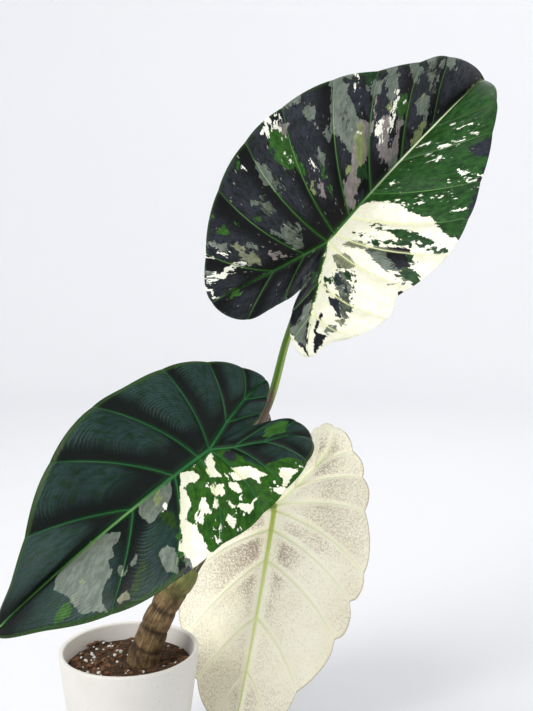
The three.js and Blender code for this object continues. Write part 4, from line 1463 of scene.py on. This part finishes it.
skin = petiole_finish()
for petiole_name, petiole in PETIOLES.items():
    make_petiole(petiole_name, petiole, skin)
make_stem(stem_finish())
make_pot(pot_finish())
make_soil(crumb_finish("soil_peat", paint(38, 27, 19), paint(84, 62, 42), 260.0, 0.85))
chip = dict(rough=0.25, squash=(1.0, 0.6, 0.32))
grit = dict(rough=0.3, squash=(1.0, 0.9, 0.8))
chip_finish = crumb_finish("bark_chips", paint(58, 38, 24), paint(126, 88, 56), 190.0, 0.8, (1.0, 0.35, 1.0))
grit_finish = crumb_finish("perlite", paint(196, 194, 186), paint(240, 239, 233), 520.0, 0.8)
scatter("soil_chips", chip, 260, (1.8, 4.6), 5, chip_finish, 0.2)
scatter("soil_perlite", grit, 90, (0.8, 2.1), 8, grit_finish, 0.0)


# Studio


STAGE_RADIUS = 2600
STAGE_CURVE = 900
STAGE_WALL = 2600
# Near paper is painted shade and far paper painted light, evening out the lamps on the floor and the far
# wall.
PAPER_NEAR = (0.83, 0.835, 0.85)
PAPER_FAR = (0.925, 0.93, 0.945)
# Lights: place, aim, size of the disk in metres, watts and colour
PLANT_MIDDLE = (0.1, 0.0, 0.35)
LIGHTS = {
    "key": ((-1.1, -1.3, 1.7), PLANT_MIDDLE, 1.2, 34, (1.0, 1.0, 1.0)),
    "fill": ((1.4, -1.2, 0.9), PLANT_MIDDLE, 1.4, 3, (0.98, 0.99, 1.0)),
    "back": ((0.3, 1.5, 1.6), PLANT_MIDDLE, 1.2, 5, (1.0, 1.0, 1.0)),
    "wall_wash": ((0.9, 0.9, 2.6), (0.9, 3.4, 1.2), 2.6, 16, (1.0, 1.0, 1.0)),
}
AIR_COLOUR = (0.985, 0.985, 1.0, 1)
AIR_STRENGTH = 0.66


def make_stage():
    """A pale floor that curves up far behind into a wall all the way round, its paper lighter far off:
    painted light on the far wall and painted shade on the floor by the plant, where the lamps light more.
    """
    bend = np.linspace(0, np.pi / 2, 16)
    out, up = STAGE_RADIUS + STAGE_CURVE * np.sin(bend), STAGE_CURVE * (1 - np.cos(bend))
    radius = np.concatenate([[0.5, 800], out, [STAGE_RADIUS + STAGE_CURVE]])
    height = np.concatenate([[0, 0], up, [STAGE_CURVE + STAGE_WALL]])
    rings = spin(radius, height[:, None], 96)
    faces, _ = ring_faces(rings)
    finish = Finish("studio_paper")
    x, y, _ = finish.channels(finish.place())
    away = finish.step((x * x + y * y) ** 0.5, 1.2, 3.2)
    paper = finish.end(finish.mix(away, PAPER_NEAR, PAPER_FAR), 0.9)
    floor = add_piece("studio_floor", rings.reshape(-1, 3), faces, None, (paper,), finer=False)


def add_light(name, place, aim, size, power, colour):
    data = bpy.data.lights.new(name, "AREA")
    data.shape = "DISK"
    data.size = size
    data.energy = power
    data.color = colour
    light = bpy.data.objects.new(name, data)
    light.location = place
    light.rotation_euler = (Vector(aim) - Vector(place)).to_track_quat("-Z", "Y").to_euler()
    bpy.context.scene.collection.objects.link(light)


make_stage()
for light_name, (place, aim, size, power, colour) in LIGHTS.items():
    add_light(light_name, place, aim, size, power, colour)
world = bpy.data.worlds.new("studio_air")
world.use_nodes = True
air = world.node_tree.nodes["Background"]
air.inputs["Color"].default_value = AIR_COLOUR
air.inputs["Strength"].default_value = AIR_STRENGTH
bpy.context.scene.world = world

camera_data = bpy.data.cameras.new("camera")
camera_data.lens = CAMERA_LENS
camera_data.sensor_width = CAMERA_SENSOR
camera = bpy.data.objects.new("camera", camera_data)
camera.location = CAMERA_PLACE
camera.rotation_euler = (math.radians(90 - CAMERA_DOWN), 0, 0)
bpy.context.scene.collection.objects.link(camera)
bpy.context.scene.camera = camera
bpy.context.scene.view_settings.view_transform = "Standard"
